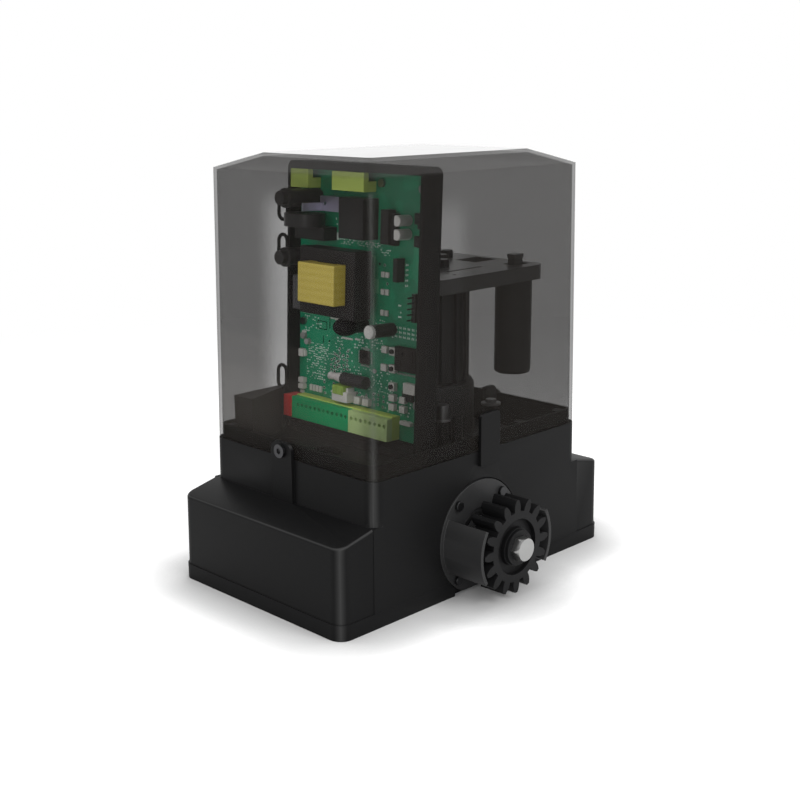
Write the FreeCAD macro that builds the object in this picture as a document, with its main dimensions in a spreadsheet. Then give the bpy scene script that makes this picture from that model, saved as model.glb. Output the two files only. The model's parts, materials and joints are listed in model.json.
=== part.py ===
import FreeCAD, Part
import math
import os
import Sketcher

# Sliding gate motor: a worm-geared drive under a translucent cover, in millimetres.
# +X runs right along the pinion side, -Y points out of it and +Z is up.
# The origin is the middle of the underside, between the four anchor slots.

doc = FreeCAD.newDocument("sliding_gate_motor")
sheet = doc.addObject("Spreadsheet::Sheet", "sizes")
Vector = FreeCAD.Vector
nodes = []
scratch_count = [0]


class Size:
    """A number that carries the spreadsheet formula it comes from."""

    def __init__(self, value, formula):
        self.value = value
        self.formula = formula

    def joined(self, sign, other, value):
        return Size(value, "(" + self.formula + " " + sign + " " + other.formula + ")")

    def __add__(self, other):
        other = size_of(other)
        return self.joined("+", other, self.value + other.value)

    def __radd__(self, other):
        return size_of(other) + self

    def __sub__(self, other):
        other = size_of(other)
        return self.joined("-", other, self.value - other.value)

    def __rsub__(self, other):
        return size_of(other) - self

    def __mul__(self, other):
        other = size_of(other)
        return self.joined("*", other, self.value * other.value)

    def __rmul__(self, other):
        return size_of(other) * self

    def __truediv__(self, other):
        other = size_of(other)
        return self.joined("/", other, self.value / other.value)

    def __neg__(self):
        return size_of(0) - self

    def tangent(self):
        return Size(math.tan(math.radians(self.value)), "tan(" + self.formula + " * 1 deg)")


def size_of(value):
    if isinstance(value, Size):
        return value
    return Size(float(value), repr(float(value)))


def size(name, value):
    """Write one driving dimension into the sheet and return it."""
    row = len(size.names) + 1
    size.names.append(name)
    sheet.set("A%d" % row, name)
    sheet.set("B%d" % row, str(value))
    sheet.setAlias("B%d" % row, name)
    return Size(float(value), "sizes." + name)


size.names = []

# Housing tub
tub_length = size("tub_length", 233.4)
tub_depth = size("tub_depth", 180.2)
wall_draft = size("wall_draft", 0.82)
tub_wall = size("tub_wall", 5)
floor_thickness = size("floor_thickness", 4)
cover_seat_height = size("cover_seat_height", 106.5)
rim_height = size("rim_height", 10.9)
corner_radius = size("corner_radius", 10.5)
skirt_reach = size("skirt_reach", 32.4)
skirt_edge_height = size("skirt_edge_height", 66.3)
skirt_slope_rise = size("skirt_slope_rise", 7.5)
skirt_inset = size("skirt_inset", 0.6)
skirt_wall = size("skirt_wall", 5)
skirt_rib = size("skirt_rib", 3)
base_rim_height = size("base_rim_height", 11.8)
notch_width = size("notch_width", 55.6)
notch_height = size("notch_height", 8.9)
tongue_width = size("tongue_width", 23)
tongue_thickness = size("tongue_thickness", 2.5)
tongue_top = size("tongue_top", 118.5)
tongue_offset = size("tongue_offset", 5)
sensor_tab_width = size("sensor_tab_width", 21.6)
sensor_tab_top = size("sensor_tab_top", 135.4)
sensor_tab_offset = size("sensor_tab_offset", 4.2)
boss_radius = size("boss_radius", 5)
anchor_spacing_x = size("anchor_spacing_x", 184)
anchor_spacing_y = size("anchor_spacing_y", 112)
anchor_slot_width = size("anchor_slot_width", 11)
anchor_slot_length = size("anchor_slot_length", 22)
cable_entry_radius = size("cable_entry_radius", 16)
cable_collar_height = size("cable_collar_height", 14)
cable_entry_x = size("cable_entry_x", -82)

# Cover
cover_wall = size("cover_wall", 2.5)
cover_gap = size("cover_gap", 0.5)
cover_draft = size("cover_draft", 0.94)
cover_wall_top = size("cover_wall_top", 312.2)
cover_crown = size("cover_crown", 10.6)
crown_inset_x = size("crown_inset_x", 26.3)
crown_inset_y = size("crown_inset_y", 27.4)
crown_corner = size("crown_corner", 5)
screw_height = size("screw_height", 112)
screw_radius = size("screw_radius", 2.5)
screw_head_radius = size("screw_head_radius", 5.2)
screw_head_height = size("screw_head_height", 2.4)

# Gear train
output_x = size("output_x", -5)
output_z = size("output_z", 41)
worm_module = size("worm_module", 2)
wheel_teeth = size("wheel_teeth", 30)
wheel_width = size("wheel_width", 12)
wheel_hub_radius = size("wheel_hub_radius", 18)
wheel_hub_width = size("wheel_hub_width", 24)
worm_pitch_radius = size("worm_pitch_radius", 8)
thread_play = size("thread_play", 0.27)
motor_y = size("motor_y", 5)
pinion_module = size("pinion_module", 4)
pinion_teeth = size("pinion_teeth", 16)
pinion_width = size("pinion_width", 22)
pinion_front = size("pinion_front", 126)
hub_face_radius = size("hub_face_radius", 14.6)
face_groove_radius = size("face_groove_radius", 21.2)
face_groove_depth = size("face_groove_depth", 4)
shaft_radius = size("shaft_radius", 10)
shaft_shoulder_radius = size("shaft_shoulder_radius", 12)
fit_gap = size("fit_gap", 0.04)
key_width = size("key_width", 6)
bearing_radius = size("bearing_radius", 21)
bearing_width = size("bearing_width", 12)
washer_radius = size("washer_radius", 13.5)
washer_thickness = size("washer_thickness", 2.5)
bolt_radius = size("bolt_radius", 5)
bolt_flats = size("bolt_flats", 17)
bolt_head_height = size("bolt_head_height", 6.4)

# Gearbox castings
case_left = size("case_left", -50)
case_right = size("case_right", 76)
case_front = size("case_front", 38)
case_back = size("case_back", 46)
case_height = size("case_height", 94)
deck_thickness = size("deck_thickness", 8)
case_deck_left = size("case_deck_left", -32)
case_deck_right = size("case_deck_right", 88)
case_deck_front = size("case_deck_front", 52)
wheel_room = size("wheel_room", 1.5)
front_cover_thickness = size("front_cover_thickness", 8)
front_lug_circle = size("front_lug_circle", 38)
front_lug_radius = size("front_lug_radius", 6)
front_screw_radius = size("front_screw_radius", 2.5)
snout_radius = size("snout_radius", 27)
snout_gap = size("snout_gap", 0.4)
small_bearing_radius = size("small_bearing_radius", 14)
small_bearing_width = size("small_bearing_width", 8)
rotor_shaft_radius = size("rotor_shaft_radius", 6)

# Motor
shield_radius = size("shield_radius", 40.8)
shield_height = size("shield_height", 44)
stator_radius = size("stator_radius", 31)
stator_bore = size("stator_bore", 18)
air_gap = size("air_gap", 0.35)
motor_tube_wall = size("motor_tube_wall", 2.5)
fin_reach = size("fin_reach", 3)
fin_thickness = size("fin_thickness", 1.8)
tie_rod_radius = size("tie_rod_radius", 2)
winding_overhang = size("winding_overhang", 9)
winding_clearance = size("winding_clearance", 15.5)
plate_top = size("plate_top", 232.5)
plate_rim = size("plate_rim", 11.5)
plate_web = size("plate_web", 3)
plate_left = size("plate_left", -22)
plate_right = size("plate_right", 104)
plate_half_depth = size("plate_half_depth", 61)
plate_corner = size("plate_corner", 9)
capacitor_x = size("capacitor_x", 86)
capacitor_y = size("capacitor_y", -43.5)
capacitor_radius = size("capacitor_radius", 14.7)
capacitor_length = size("capacitor_length", 84)

# Pinion guard
recess_radius = size("recess_radius", 44.5)
recess_depth = size("recess_depth", 3.5)
guard_radius = size("guard_radius", 40.4)
guard_wall = size("guard_wall", 2.8)
guard_flange = size("guard_flange", 3)
guard_flange_gap = size("guard_flange_gap", 1)
guard_opening = size("guard_opening", 59)
guard_screw_circle = size("guard_screw_circle", 38)

# Board tray and deck
board_lean = size("board_lean", 2.4)
tray_x = size("tray_x", -55.9)
tray_bottom = size("tray_bottom", 108)
tray_width = size("tray_width", 143)
tray_height = size("tray_height", 207.5)
tray_depth = size("tray_depth", 20)
tray_wall = size("tray_wall", 2.5)
tray_head = size("tray_head", 6)
tray_corner = size("tray_corner", 6)
board_recess = size("board_recess", 11)
board_width = size("board_width", 137)
board_height = size("board_height", 194)
board_bottom = size("board_bottom", 7)
board_thickness = size("board_thickness", 1.6)
electronics_deck_top = size("electronics_deck_top", 104)
electronics_deck_thickness = size("electronics_deck_thickness", 4)
electronics_deck_right = size("electronics_deck_right", -33)
deck_clearance = size("deck_clearance", 2.5)
duct_top = size("duct_top", 138)
duct_depth = size("duct_depth", 22)
duct_wall = size("duct_wall", 2.5)


def tie(thing, name, value):
    """Bind a property to its formula, or set it when it is a plain number."""
    value = size_of(value)
    if "sizes." in value.formula:
        thing.setExpression(name, value.formula)
        return
    setattr(thing, name, value.value)


def tie_base(thing, x, y, z, prefix="Placement"):
    """Bind the three coordinates of a placement."""
    numbers = [size_of(x), size_of(y), size_of(z)]
    placement = getattr(thing, prefix)
    placement.Base = Vector(*[n.value for n in numbers])
    setattr(thing, prefix, placement)
    for letter, number in zip("xyz", numbers):
        if "sizes." in number.formula:
            thing.setExpression(prefix + ".Base." + letter, number.formula)


def turned(axis, angle):
    return FreeCAD.Placement(Vector(0, 0, 0), FreeCAD.Rotation(axis, angle))


# The frames that pieces are drawn in: the housing's own, the output shaft's with its
# third axis pointing out of the pinion side, the motor's about its upright shaft, and
# the board's, which leans back and stands on the electronics deck.
motor_x = output_x + worm_module * wheel_teeth / 2 + worm_pitch_radius
HOUSING = ("housing", 0, 0, 0)
OUTPUT = ("output", output_x, 0, output_z)
MOTOR = ("motor", motor_x, motor_y, 0)
BOARD = ("board", tray_x, 0, tray_bottom)


def place(thing, frame):
    name, x, y, z = frame
    if name == "output":
        thing.Placement = turned(Vector(1, 0, 0), 90)
    if name == "board":
        thing.Placement = turned(Vector(0, 1, 0), board_lean.value)
        thing.setExpression("Placement.Rotation.Angle", board_lean.formula)
    tie_base(thing, x, y, z)


def node(label, thing, frame=HOUSING):
    """Name a finished sub-part and put it in its frame."""
    if thing.TypeId in ("Part::Box", "Part::Cylinder"):
        thing = group(thing)
    thing.Label = label
    if frame[0] != "housing":
        place(thing, frame)
    nodes.append(thing)
    return thing


def new(kind, name):
    scratch_count[0] += 1
    return doc.addObject(kind, "%s_%d" % (name, scratch_count[0]))


def block(x0, x1, y0, y1, z0, z1):
    """A box between two corners."""
    box = new("Part::Box", "block")
    tie(box, "Length", size_of(x1) - x0)
    tie(box, "Width", size_of(y1) - y0)
    tie(box, "Height", size_of(z1) - z0)
    tie_base(box, x0, y0, z0)
    return box


TURN = {"X": (Vector(0, 1, 0), 90), "Y": (Vector(1, 0, 0), -90), "Z": (Vector(0, 0, 1), 0)}


def rod(axis, a, b, start, end, radius):
    """A cylinder along one axis, through (a, b) on the other two in X, Y, Z order."""
    cylinder = new("Part::Cylinder", "rod")
    tie(cylinder, "Radius", radius)
    tie(cylinder, "Height", size_of(end) - start)
    cylinder.Placement = turned(*TURN[axis])
    point = {"X": (start, a, b), "Y": (a, start, b), "Z": (a, b, start)}[axis]
    tie_base(cylinder, *point)
    return cylinder


def cone(axis, a, b, start, end, radius_start, radius_end):
    """A tapered rod, made like rod."""
    shape = new("Part::Cone", "cone")
    tie(shape, "Radius1", radius_start)
    tie(shape, "Radius2", radius_end)
    tie(shape, "Height", size_of(end) - start)
    shape.Placement = turned(*TURN[axis])
    point = {"X": (start, a, b), "Y": (a, start, b), "Z": (a, b, start)}[axis]
    tie_base(shape, *point)
    return shape


def hexagon(axis, a, b, start, end, flats):
    """A hexagonal head, sized across its flats."""
    prism = new("Part::Prism", "hexagon")
    prism.Polygon = 6
    tie(prism, "Circumradius", size_of(flats) / math.sqrt(3))
    tie(prism, "Height", size_of(end) - start)
    prism.Placement = turned(*TURN[axis])
    point = {"X": (start, a, b), "Y": (a, start, b), "Z": (a, b, start)}[axis]
    tie_base(prism, *point)
    return prism


def fuse(*things):
    result = new("Part::MultiFuse", "joined")
    result.Shapes = list(things)
    result.Refine = True
    return result


def group(*things):
    """Separate solids that share one node."""
    result = new("Part::Compound", "group")
    result.Links = list(things)
    return result


def cut(base, *tools):
    result = new("Part::Cut", "cut")
    result.Base = base
    result.Tool = tools[0] if len(tools) == 1 else fuse(*tools)
    return result


def body(label, frame=HOUSING):
    thing = doc.addObject("PartDesign::Body", label)
    return node(label, thing, frame)


def sketch(owner, plane, offset=0):
    """A sketch on one of the body's origin planes, moved along that plane's normal."""
    scratch_count[0] += 1
    drawing = owner.newObject("Sketcher::SketchObject", "sketch_%d" % scratch_count[0])
    planes = [f for f in owner.Origin.OriginFeatures if f.Role == plane]
    drawing.AttachmentSupport = [(planes[0], "")]
    drawing.MapMode = "FlatFace"
    if size_of(offset).formula != "0.0":
        tie_base(drawing, 0, 0, offset, "AttachmentOffset")
    return drawing


def hold(drawing, constraint, value):
    """Add one dimension to a sketch, bound to its formula."""
    index = drawing.addConstraint(constraint)
    if "sizes." in value.formula:
        drawing.setExpression("Constraints[%d]" % index, value.formula)


def pin_down(drawing, element, end, x, y):
    """Hold one point of a sketch at its distances from the sketch's origin."""
    x, y = size_of(x), size_of(y)
    hold(drawing, Sketcher.Constraint("DistanceX", -1, 1, element, end, x.value), x)
    hold(drawing, Sketcher.Constraint("DistanceY", -1, 1, element, end, y.value), y)


def outline(drawing, points):
    """A closed outline with straight sides through the points."""
    first = drawing.GeometryCount
    count = len(points)
    flat = [Vector(size_of(x).value, size_of(y).value, 0) for x, y in points]
    for i in range(count):
        drawing.addGeometry(Part.LineSegment(flat[i], flat[(i + 1) % count]))
    for i in range(count):
        following = first + (i + 1) % count
        drawing.addConstraint(Sketcher.Constraint("Coincident", first + i, 2, following, 1))
    for i, (x, y) in enumerate(points):
        pin_down(drawing, first + i, 1, x, y)


def rectangle(drawing, x0, x1, y0, y1):
    outline(drawing, [(x0, y0), (x1, y0), (x1, y1), (x0, y1)])


def circle(drawing, x, y, radius):
    radius = size_of(radius)
    middle = Vector(size_of(x).value, size_of(y).value, 0)
    index = drawing.addGeometry(Part.Circle(middle, Vector(0, 0, 1), radius.value))
    pin_down(drawing, index, 3, x, y)
    hold(drawing, Sketcher.Constraint("Radius", index, radius.value), radius)


def rounded(drawing, x0, x1, y0, y1, radius):
    """A rectangle with four round corners."""
    x0, x1, y0, y1, radius = [size_of(v) for v in (x0, x1, y0, y1, radius)]
    left, right, low, high, r = x0.value, x1.value, y0.value, y1.value, radius.value
    middles = [(right - r, low + r), (right - r, high - r), (left + r, high - r), (left + r, low + r)]
    first = drawing.GeometryCount
    for i, (cx, cy) in enumerate(middles):
        start = math.radians(-90 + 90 * i)
        arc = Part.ArcOfCircle(Part.Circle(Vector(cx, cy, 0), Vector(0, 0, 1), r), start, start + math.pi / 2)
        drawing.addGeometry(arc)
    ends = [
        ((left + r, low), (right - r, low)),
        ((right, low + r), (right, high - r)),
        ((right - r, high), (left + r, high)),
        ((left, high - r), (left, low + r)),
    ]
    for start, end in ends:
        drawing.addGeometry(Part.LineSegment(Vector(*start, 0), Vector(*end, 0)))
    for i in range(4):
        line = first + 4 + i
        before = first + (i + 3) % 4
        after = first + i
        drawing.addConstraint(Sketcher.Constraint("Tangent", before, 2, line, 1))
        drawing.addConstraint(Sketcher.Constraint("Tangent", line, 2, after, 1))
        direction = "Horizontal" if i % 2 == 0 else "Vertical"
        drawing.addConstraint(Sketcher.Constraint(direction, line))
    for i in range(1, 4):
        drawing.addConstraint(Sketcher.Constraint("Equal", first, first + i))
    hold(drawing, Sketcher.Constraint("Radius", first, r), radius)
    hold(drawing, Sketcher.Constraint("DistanceY", -1, 1, first + 4, 1, low), y0)
    hold(drawing, Sketcher.Constraint("DistanceX", -1, 1, first + 5, 1, right), x1)
    hold(drawing, Sketcher.Constraint("DistanceY", -1, 1, first + 6, 1, high), y1)
    hold(drawing, Sketcher.Constraint("DistanceX", -1, 1, first + 7, 1, left), x0)


def slot(drawing, x, y, length, width):
    """A round-ended slot along the first axis."""
    x, y, length, radius = size_of(x), size_of(y), size_of(length), size_of(width) / 2
    reach = length / 2 - radius
    rounded_ends = [(x - reach, 90), (x + reach, -90)]
    first = drawing.GeometryCount
    for middle, start in rounded_ends:
        centre = Part.Circle(Vector(middle.value, y.value, 0), Vector(0, 0, 1), radius.value)
        drawing.addGeometry(Part.ArcOfCircle(centre, math.radians(start), math.radians(start + 180)))
    left, right = rounded_ends[0][0].value, rounded_ends[1][0].value
    low, high = y.value - radius.value, y.value + radius.value
    drawing.addGeometry(Part.LineSegment(Vector(left, low, 0), Vector(right, low, 0)))
    drawing.addGeometry(Part.LineSegment(Vector(right, high, 0), Vector(left, high, 0)))
    joints = [(first, 2, first + 2, 1), (first + 2, 2, first + 1, 1),
              (first + 1, 2, first + 3, 1), (first + 3, 2, first, 1)]
    for joint in joints:
        drawing.addConstraint(Sketcher.Constraint("Tangent", *joint))
    pin_down(drawing, first, 3, rounded_ends[0][0], y)
    pin_down(drawing, first + 1, 3, rounded_ends[1][0], y)
    hold(drawing, Sketcher.Constraint("Radius", first, radius.value), radius)


def feature(owner, kind, drawing):
    scratch_count[0] += 1
    result = owner.newObject("PartDesign::" + kind, "%s_%d" % (kind.lower(), scratch_count[0]))
    result.Profile = drawing
    return result


def pad(owner, drawing, length, taper=None, reverse=False, both=False):
    result = feature(owner, "Pad", drawing)
    tie(result, "Length", length)
    result.Reversed = reverse
    result.Midplane = both
    if taper is not None:
        tie(result, "TaperAngle", -taper)
    return result


def pocket(owner, drawing, depth, taper=None, reverse=False, both=False):
    result = feature(owner, "Pocket", drawing)
    tie(result, "Length", depth)
    result.Reversed = reverse
    result.Midplane = both
    if taper is not None:
        tie(result, "TaperAngle", -taper)
    return result


def revolve(owner, drawing, kind="Revolution"):
    result = feature(owner, kind, drawing)
    result.ReferenceAxis = (drawing, ["V_Axis"])
    result.Angle = 360
    return result


def repeat_round(owner, original, count):
    """Repeat a feature round the body's third axis."""
    scratch_count[0] += 1
    pattern = owner.newObject("PartDesign::PolarPattern", "round_%d" % scratch_count[0])
    pattern.Originals = [original]
    axes = [f for f in owner.Origin.OriginFeatures if f.Role == "Z_Axis"]
    pattern.Axis = (axes[0], [""])
    pattern.Angle = 360
    tie(pattern, "Occurrences", count)
    owner.Tip = pattern
    return pattern


def fillet(owner, radius, wanted):
    """Round the edges whose bounding boxes are wanted."""
    doc.recompute()
    base = owner.Tip
    edges = ["Edge%d" % (i + 1) for i, edge in enumerate(base.Shape.Edges) if wanted(edge.BoundBox)]
    scratch_count[0] += 1
    result = owner.newObject("PartDesign::Fillet", "fillet_%d" % scratch_count[0])
    result.Base = (base, edges)
    tie(result, "Radius", radius)
    return result


def turned_part(label, frame, profile):
    """A solid of revolution whose outline gives radius and height."""
    owner = body(label, frame)
    drawing = sketch(owner, "XZ_Plane")
    outline(drawing, profile)
    revolve(owner, drawing)
    return owner


def ring(label, frame, bore, radius, start, end):
    """A plain ring, such as a seal or a spacer."""
    profile = [(bore, start), (radius, start), (radius, end), (bore, end)]
    return turned_part(label, frame, profile)


def bearings(label, frame, bore, radius, width, starts):
    """Equal ball bearings: outer race, inner race and a shield set in between them."""
    rings = []
    race = (radius - bore) * 0.24
    for start in starts:
        owner = doc.addObject("PartDesign::Body", "bearing")
        drawing = sketch(owner, "XZ_Plane")
        dish = width * 0.06
        outline(drawing, [
            (bore, start), (bore + race, start), (bore + race, start + dish), (radius - race, start + dish),
            (radius - race, start), (radius, start), (radius, start + width), (radius - race, start + width),
            (radius - race, start + width - dish), (bore + race, start + width - dish),
            (bore + race, start + width), (bore, start + width)])
        revolve(owner, drawing)
        rings.append(owner)
    node(label, group(*rings), frame)


# Housing tub: one black moulding with a drafted main box, a hollow skirt at each end,
# a step for the cover, three outer tongues, a round recess for the pinion guard and
# bosses that stand on the floor.
slope = wall_draft.tangent()
half_length = tub_length / 2
half_depth = tub_depth / 2
skirt_top = skirt_edge_height + skirt_slope_rise
seat_half_length = half_length - slope * cover_seat_height
seat_half_depth = half_depth - slope * cover_seat_height
step_half_length = half_length - slope * skirt_top
step_half_depth = half_depth - slope * skirt_top
rim_half_length = seat_half_length - cover_wall - cover_gap
rim_half_depth = seat_half_depth - cover_wall - cover_gap
inner_half_length = seat_half_length - tub_wall
inner_half_depth = seat_half_depth - tub_wall
electronics_deck_left = deck_clearance - inner_half_length
electronics_deck_half_depth = inner_half_depth - deck_clearance
rim_top = cover_seat_height + rim_height
end_x = half_length + skirt_reach
recess_floor = half_depth - recess_depth

tub = body("housing_tub")
drawing = sketch(tub, "XY_Plane")
rounded(drawing, -end_x, end_x, -half_depth, half_depth, corner_radius)
pad(tub, drawing, base_rim_height)
drawing = sketch(tub, "XY_Plane")
skirt_x = end_x - skirt_inset
skirt_y = half_depth - skirt_inset
rounded(drawing, -skirt_x, skirt_x, -skirt_y, skirt_y, corner_radius)
pad(tub, drawing, skirt_top, wall_draft)
drawing = sketch(tub, "XZ_Plane")
for side in (-1, 1):
    above = skirt_top + 1
    points = [(side * half_length, skirt_top), (side * end_x, skirt_edge_height),
              (side * (end_x + 2), above), (side * half_length, above)]
    outline(drawing, points)
pocket(tub, drawing, tub_depth + 2, both=True)
skirt_rounding = size("skirt_rounding", 2.5)
fillet(tub, skirt_rounding, lambda box: box.ZMin > skirt_edge_height.value - 0.1 and
       max(box.XMax, -box.XMin) > half_length.value + 1)
drawing = sketch(tub, "XY_Plane")
rectangle(drawing, -half_length, half_length, -half_depth, half_depth)
pad(tub, drawing, skirt_top, wall_draft)
drawing = sketch(tub, "XY_Plane", skirt_top)
rounded(drawing, -step_half_length, step_half_length, -step_half_depth, step_half_depth, corner_radius)
pad(tub, drawing, cover_seat_height - skirt_top, wall_draft)
drawing = sketch(tub, "XY_Plane", cover_seat_height)
rim_corner = corner_radius - cover_wall
rounded(drawing, -rim_half_length, rim_half_length, -rim_half_depth, rim_half_depth, rim_corner)
pad(tub, drawing, rim_height)

# Tongues outside the cover: two that take its screws and a taller one on the pinion side.
tongue_gap = size("tongue_gap", 0.35)
tongue_foot = size("tongue_foot", 74)
tongue_corner = size("tongue_corner", 7)
tab_corner = size("tab_corner", 4)
outer_half_length = seat_half_length + tongue_gap
outer_half_depth = seat_half_depth + tongue_gap
drawing = sketch(tub, "YZ_Plane", outer_half_length)
low_y = tongue_offset - tongue_width / 2
high_y = tongue_offset + tongue_width / 2
rounded(drawing, low_y, high_y, tongue_foot - 10, tongue_top, tongue_corner)
pad(tub, drawing, tongue_thickness)
drawing = sketch(tub, "YZ_Plane", -outer_half_length)
rounded(drawing, low_y, high_y, tongue_foot - 10, tongue_top, tongue_corner)
pad(tub, drawing, tongue_thickness, reverse=True)
tab_left = sensor_tab_offset - sensor_tab_width / 2
tab_right = sensor_tab_offset + sensor_tab_width / 2
drawing = sketch(tub, "XZ_Plane", outer_half_depth)
rounded(drawing, tab_left, tab_right, cover_seat_height - 12, sensor_tab_top, tab_corner)
pad(tub, drawing, tongue_thickness)
for side in (-1, 1):
    drawing = sketch(tub, "YZ_Plane", side * (inner_half_length + 1))
    rectangle(drawing, low_y, high_y, tongue_foot, cover_seat_height - 0.2)
    pad(tub, drawing, tub_wall + tongue_gap + tongue_thickness - 1, reverse=side < 0)
drawing = sketch(tub, "XZ_Plane", inner_half_depth + 1)
rectangle(drawing, tab_left, tab_right, cover_seat_height - 11, cover_seat_height - 0.2)
pad(tub, drawing, tub_wall + tongue_gap + tongue_thickness - 1)

drawing = sketch(tub, "XY_Plane", rim_top)
inner_corner = corner_radius - tub_wall
rounded(drawing, -inner_half_length, inner_half_length, -inner_half_depth, inner_half_depth, inner_corner)
pocket(tub, drawing, rim_top - floor_thickness)

# The skirts are cored out from below, with ribs across them.
drawing = sketch(tub, "XY_Plane")
hollow_in = inner_half_length + tub_wall
hollow_out = end_x - skirt_inset - skirt_wall
hollow_y = skirt_y - skirt_wall
cell_count = 3
cell = (hollow_y * 2 - skirt_rib * (cell_count - 1)) / cell_count
for side in (-1, 1):
    for i in range(cell_count):
        start = (cell + skirt_rib) * i - hollow_y
        near, far = side * hollow_in, side * hollow_out
        rectangle(drawing, near if side > 0 else far, far if side > 0 else near, start, start + cell)
pocket(tub, drawing, skirt_edge_height - skirt_wall - 1, reverse=True)

# Bosses for the electronics deck and for screws at the rim, a collar round the cable
# entry, the anchor slots and the holes for the gearbox screws.
deck_underside = electronics_deck_top - electronics_deck_thickness
boss_left = electronics_deck_left + 6
boss_right = size("deck_boss_x", -46)
boss_y = electronics_deck_half_depth - 6
boss_back = size("boss_back", 30)
deck_bosses = [(boss_left, -boss_back), (boss_left, boss_back), (boss_right, -boss_y), (boss_right, boss_y)]
drawing = sketch(tub, "XY_Plane", floor_thickness)
for x, y in deck_bosses:
    circle(drawing, x, y, boss_radius)
pad(tub, drawing, deck_underside - floor_thickness)
rim_boss_x = size("rim_boss_x", 52.6)
rim_boss_side = size("rim_boss_side", 74)
rim_boss_y = rim_half_depth - boss_radius - 0.3
rim_boss_end = rim_half_length - boss_radius - 0.3
rim_bosses = [(rim_boss_x, -rim_boss_y), (rim_boss_end - 6, -rim_boss_y), (rim_boss_end - 6, rim_boss_y),
              (-rim_boss_end, -rim_boss_side), (-rim_boss_end, rim_boss_side)]
rim_boss_top = rim_top - 0.6
rim_boss_foot = electronics_deck_top + 0.4
drawing = sketch(tub, "XY_Plane", rim_boss_top)
for x, y in rim_bosses:
    circle(drawing, x, y, boss_radius)
pad(tub, drawing, rim_boss_top - rim_boss_foot, reverse=True)
drawing = sketch(tub, "XY_Plane", floor_thickness)
circle(drawing, cable_entry_x, 0, cable_entry_radius + 3)
pad(tub, drawing, cable_collar_height - floor_thickness)

foot_reach = size("foot_reach", 12)
foot_inset = size("foot_inset", 7)
gearbox_screws = [(x, y) for x in (case_left - foot_inset + 1, case_right + foot_inset - 1)
                  for y in (foot_inset - case_front, case_back - foot_inset)]
gearbox_screw_radius = size("gearbox_screw_radius", 3)
drawing = sketch(tub, "XY_Plane")
circle(drawing, cable_entry_x, 0, cable_entry_radius)
for x, y in gearbox_screws:
    circle(drawing, x, y, gearbox_screw_radius + fit_gap)
for x in (-1, 1):
    for y in (-1, 1):
        slot(drawing, anchor_spacing_x * x / 2, anchor_spacing_y * y / 2, anchor_slot_length, anchor_slot_width)
pocket(tub, drawing, cable_collar_height + 1, reverse=True)

# Pinion side: the guard's recess, the hole for the gearbox snout, its screw holes and
# the notch under the pinion.
guard_screw_angles = (50, 130, 230, 310)
guard_screw_radius = size("guard_screw_radius", 2)
guard_screws = []
for angle in guard_screw_angles:
    across = guard_screw_circle * math.cos(math.radians(angle))
    up = guard_screw_circle * math.sin(math.radians(angle))
    guard_screws.append((across, up))
drawing = sketch(tub, "XZ_Plane", recess_floor)
circle(drawing, output_x, output_z, recess_radius)
pocket(tub, drawing, recess_depth + 2, reverse=True)
drawing = sketch(tub, "XZ_Plane", recess_floor)
rectangle(drawing, output_x - notch_width / 2, output_x + notch_width / 2, -1, notch_height)
pocket(tub, drawing, recess_depth + 2, reverse=True)
drawing = sketch(tub, "XZ_Plane", recess_floor + 1)
circle(drawing, output_x, output_z, snout_radius + snout_gap)
for across, up in guard_screws:
    circle(drawing, output_x + across, output_z + up, guard_screw_radius)
pocket(tub, drawing, tub_wall + 3)
drawing = sketch(tub, "YZ_Plane")
circle(drawing, tongue_offset, screw_height, screw_radius + fit_gap)
pocket(tub, drawing, end_x * 2, both=True)

# Cover: a drafted translucent shell with a hipped crown, open below, and a notch at each
# end for its screw.
top_shrink = cover_draft.tangent() * (cover_wall_top - cover_seat_height)
crown_top = cover_wall_top + cover_crown
wall_x = seat_half_length - top_shrink
wall_y = seat_half_depth - top_shrink
cover = body("cover")
drawing = sketch(cover, "XY_Plane", cover_seat_height)
rounded(drawing, -seat_half_length, seat_half_length, -seat_half_depth, seat_half_depth, corner_radius)
pad(cover, drawing, cover_wall_top - cover_seat_height, cover_draft)
crown_x = wall_x - crown_inset_x
crown_y = wall_y - crown_inset_y
lower = sketch(cover, "XY_Plane", cover_wall_top)
rounded(lower, -wall_x, wall_x, -wall_y, wall_y, corner_radius - top_shrink)
upper = sketch(cover, "XY_Plane", crown_top)
rounded(upper, -crown_x, crown_x, -crown_y, crown_y, crown_corner)
crown = feature(cover, "AdditiveLoft", lower)
crown.Sections = [upper]
crown.Ruled = True
inner_x, inner_y = seat_half_length - cover_wall, seat_half_depth - cover_wall
inner_top = cover_wall_top - cover_wall * 0.68
inner_shrink = cover_draft.tangent() * (inner_top - cover_seat_height)
drawing = sketch(cover, "XY_Plane", cover_seat_height)
rounded(drawing, -inner_x, inner_x, -inner_y, inner_y, corner_radius - cover_wall)
pocket(cover, drawing, inner_top - cover_seat_height, reverse=True, taper=cover_draft)
inner_x, inner_y = inner_x - inner_shrink, inner_y - inner_shrink
lower = sketch(cover, "XY_Plane", inner_top)
rounded(lower, -inner_x, inner_x, -inner_y, inner_y, corner_radius - cover_wall - inner_shrink)
inner_x, inner_y = crown_x - cover_wall * 0.2, crown_y - cover_wall * 0.2
upper = sketch(cover, "XY_Plane", crown_top - cover_wall)
rounded(upper, -inner_x, inner_x, -inner_y, inner_y, crown_corner)
hollow = feature(cover, "SubtractiveLoft", lower)
hollow.Sections = [upper]
hollow.Ruled = True
drawing = sketch(cover, "YZ_Plane")
notch_half = screw_radius + cover_gap
rounded(drawing, tongue_offset - notch_half, tongue_offset + notch_half,
        cover_seat_height - 8, screw_height + notch_half, notch_half - 0.05)
pocket(cover, drawing, end_x * 2, both=True)

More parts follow.
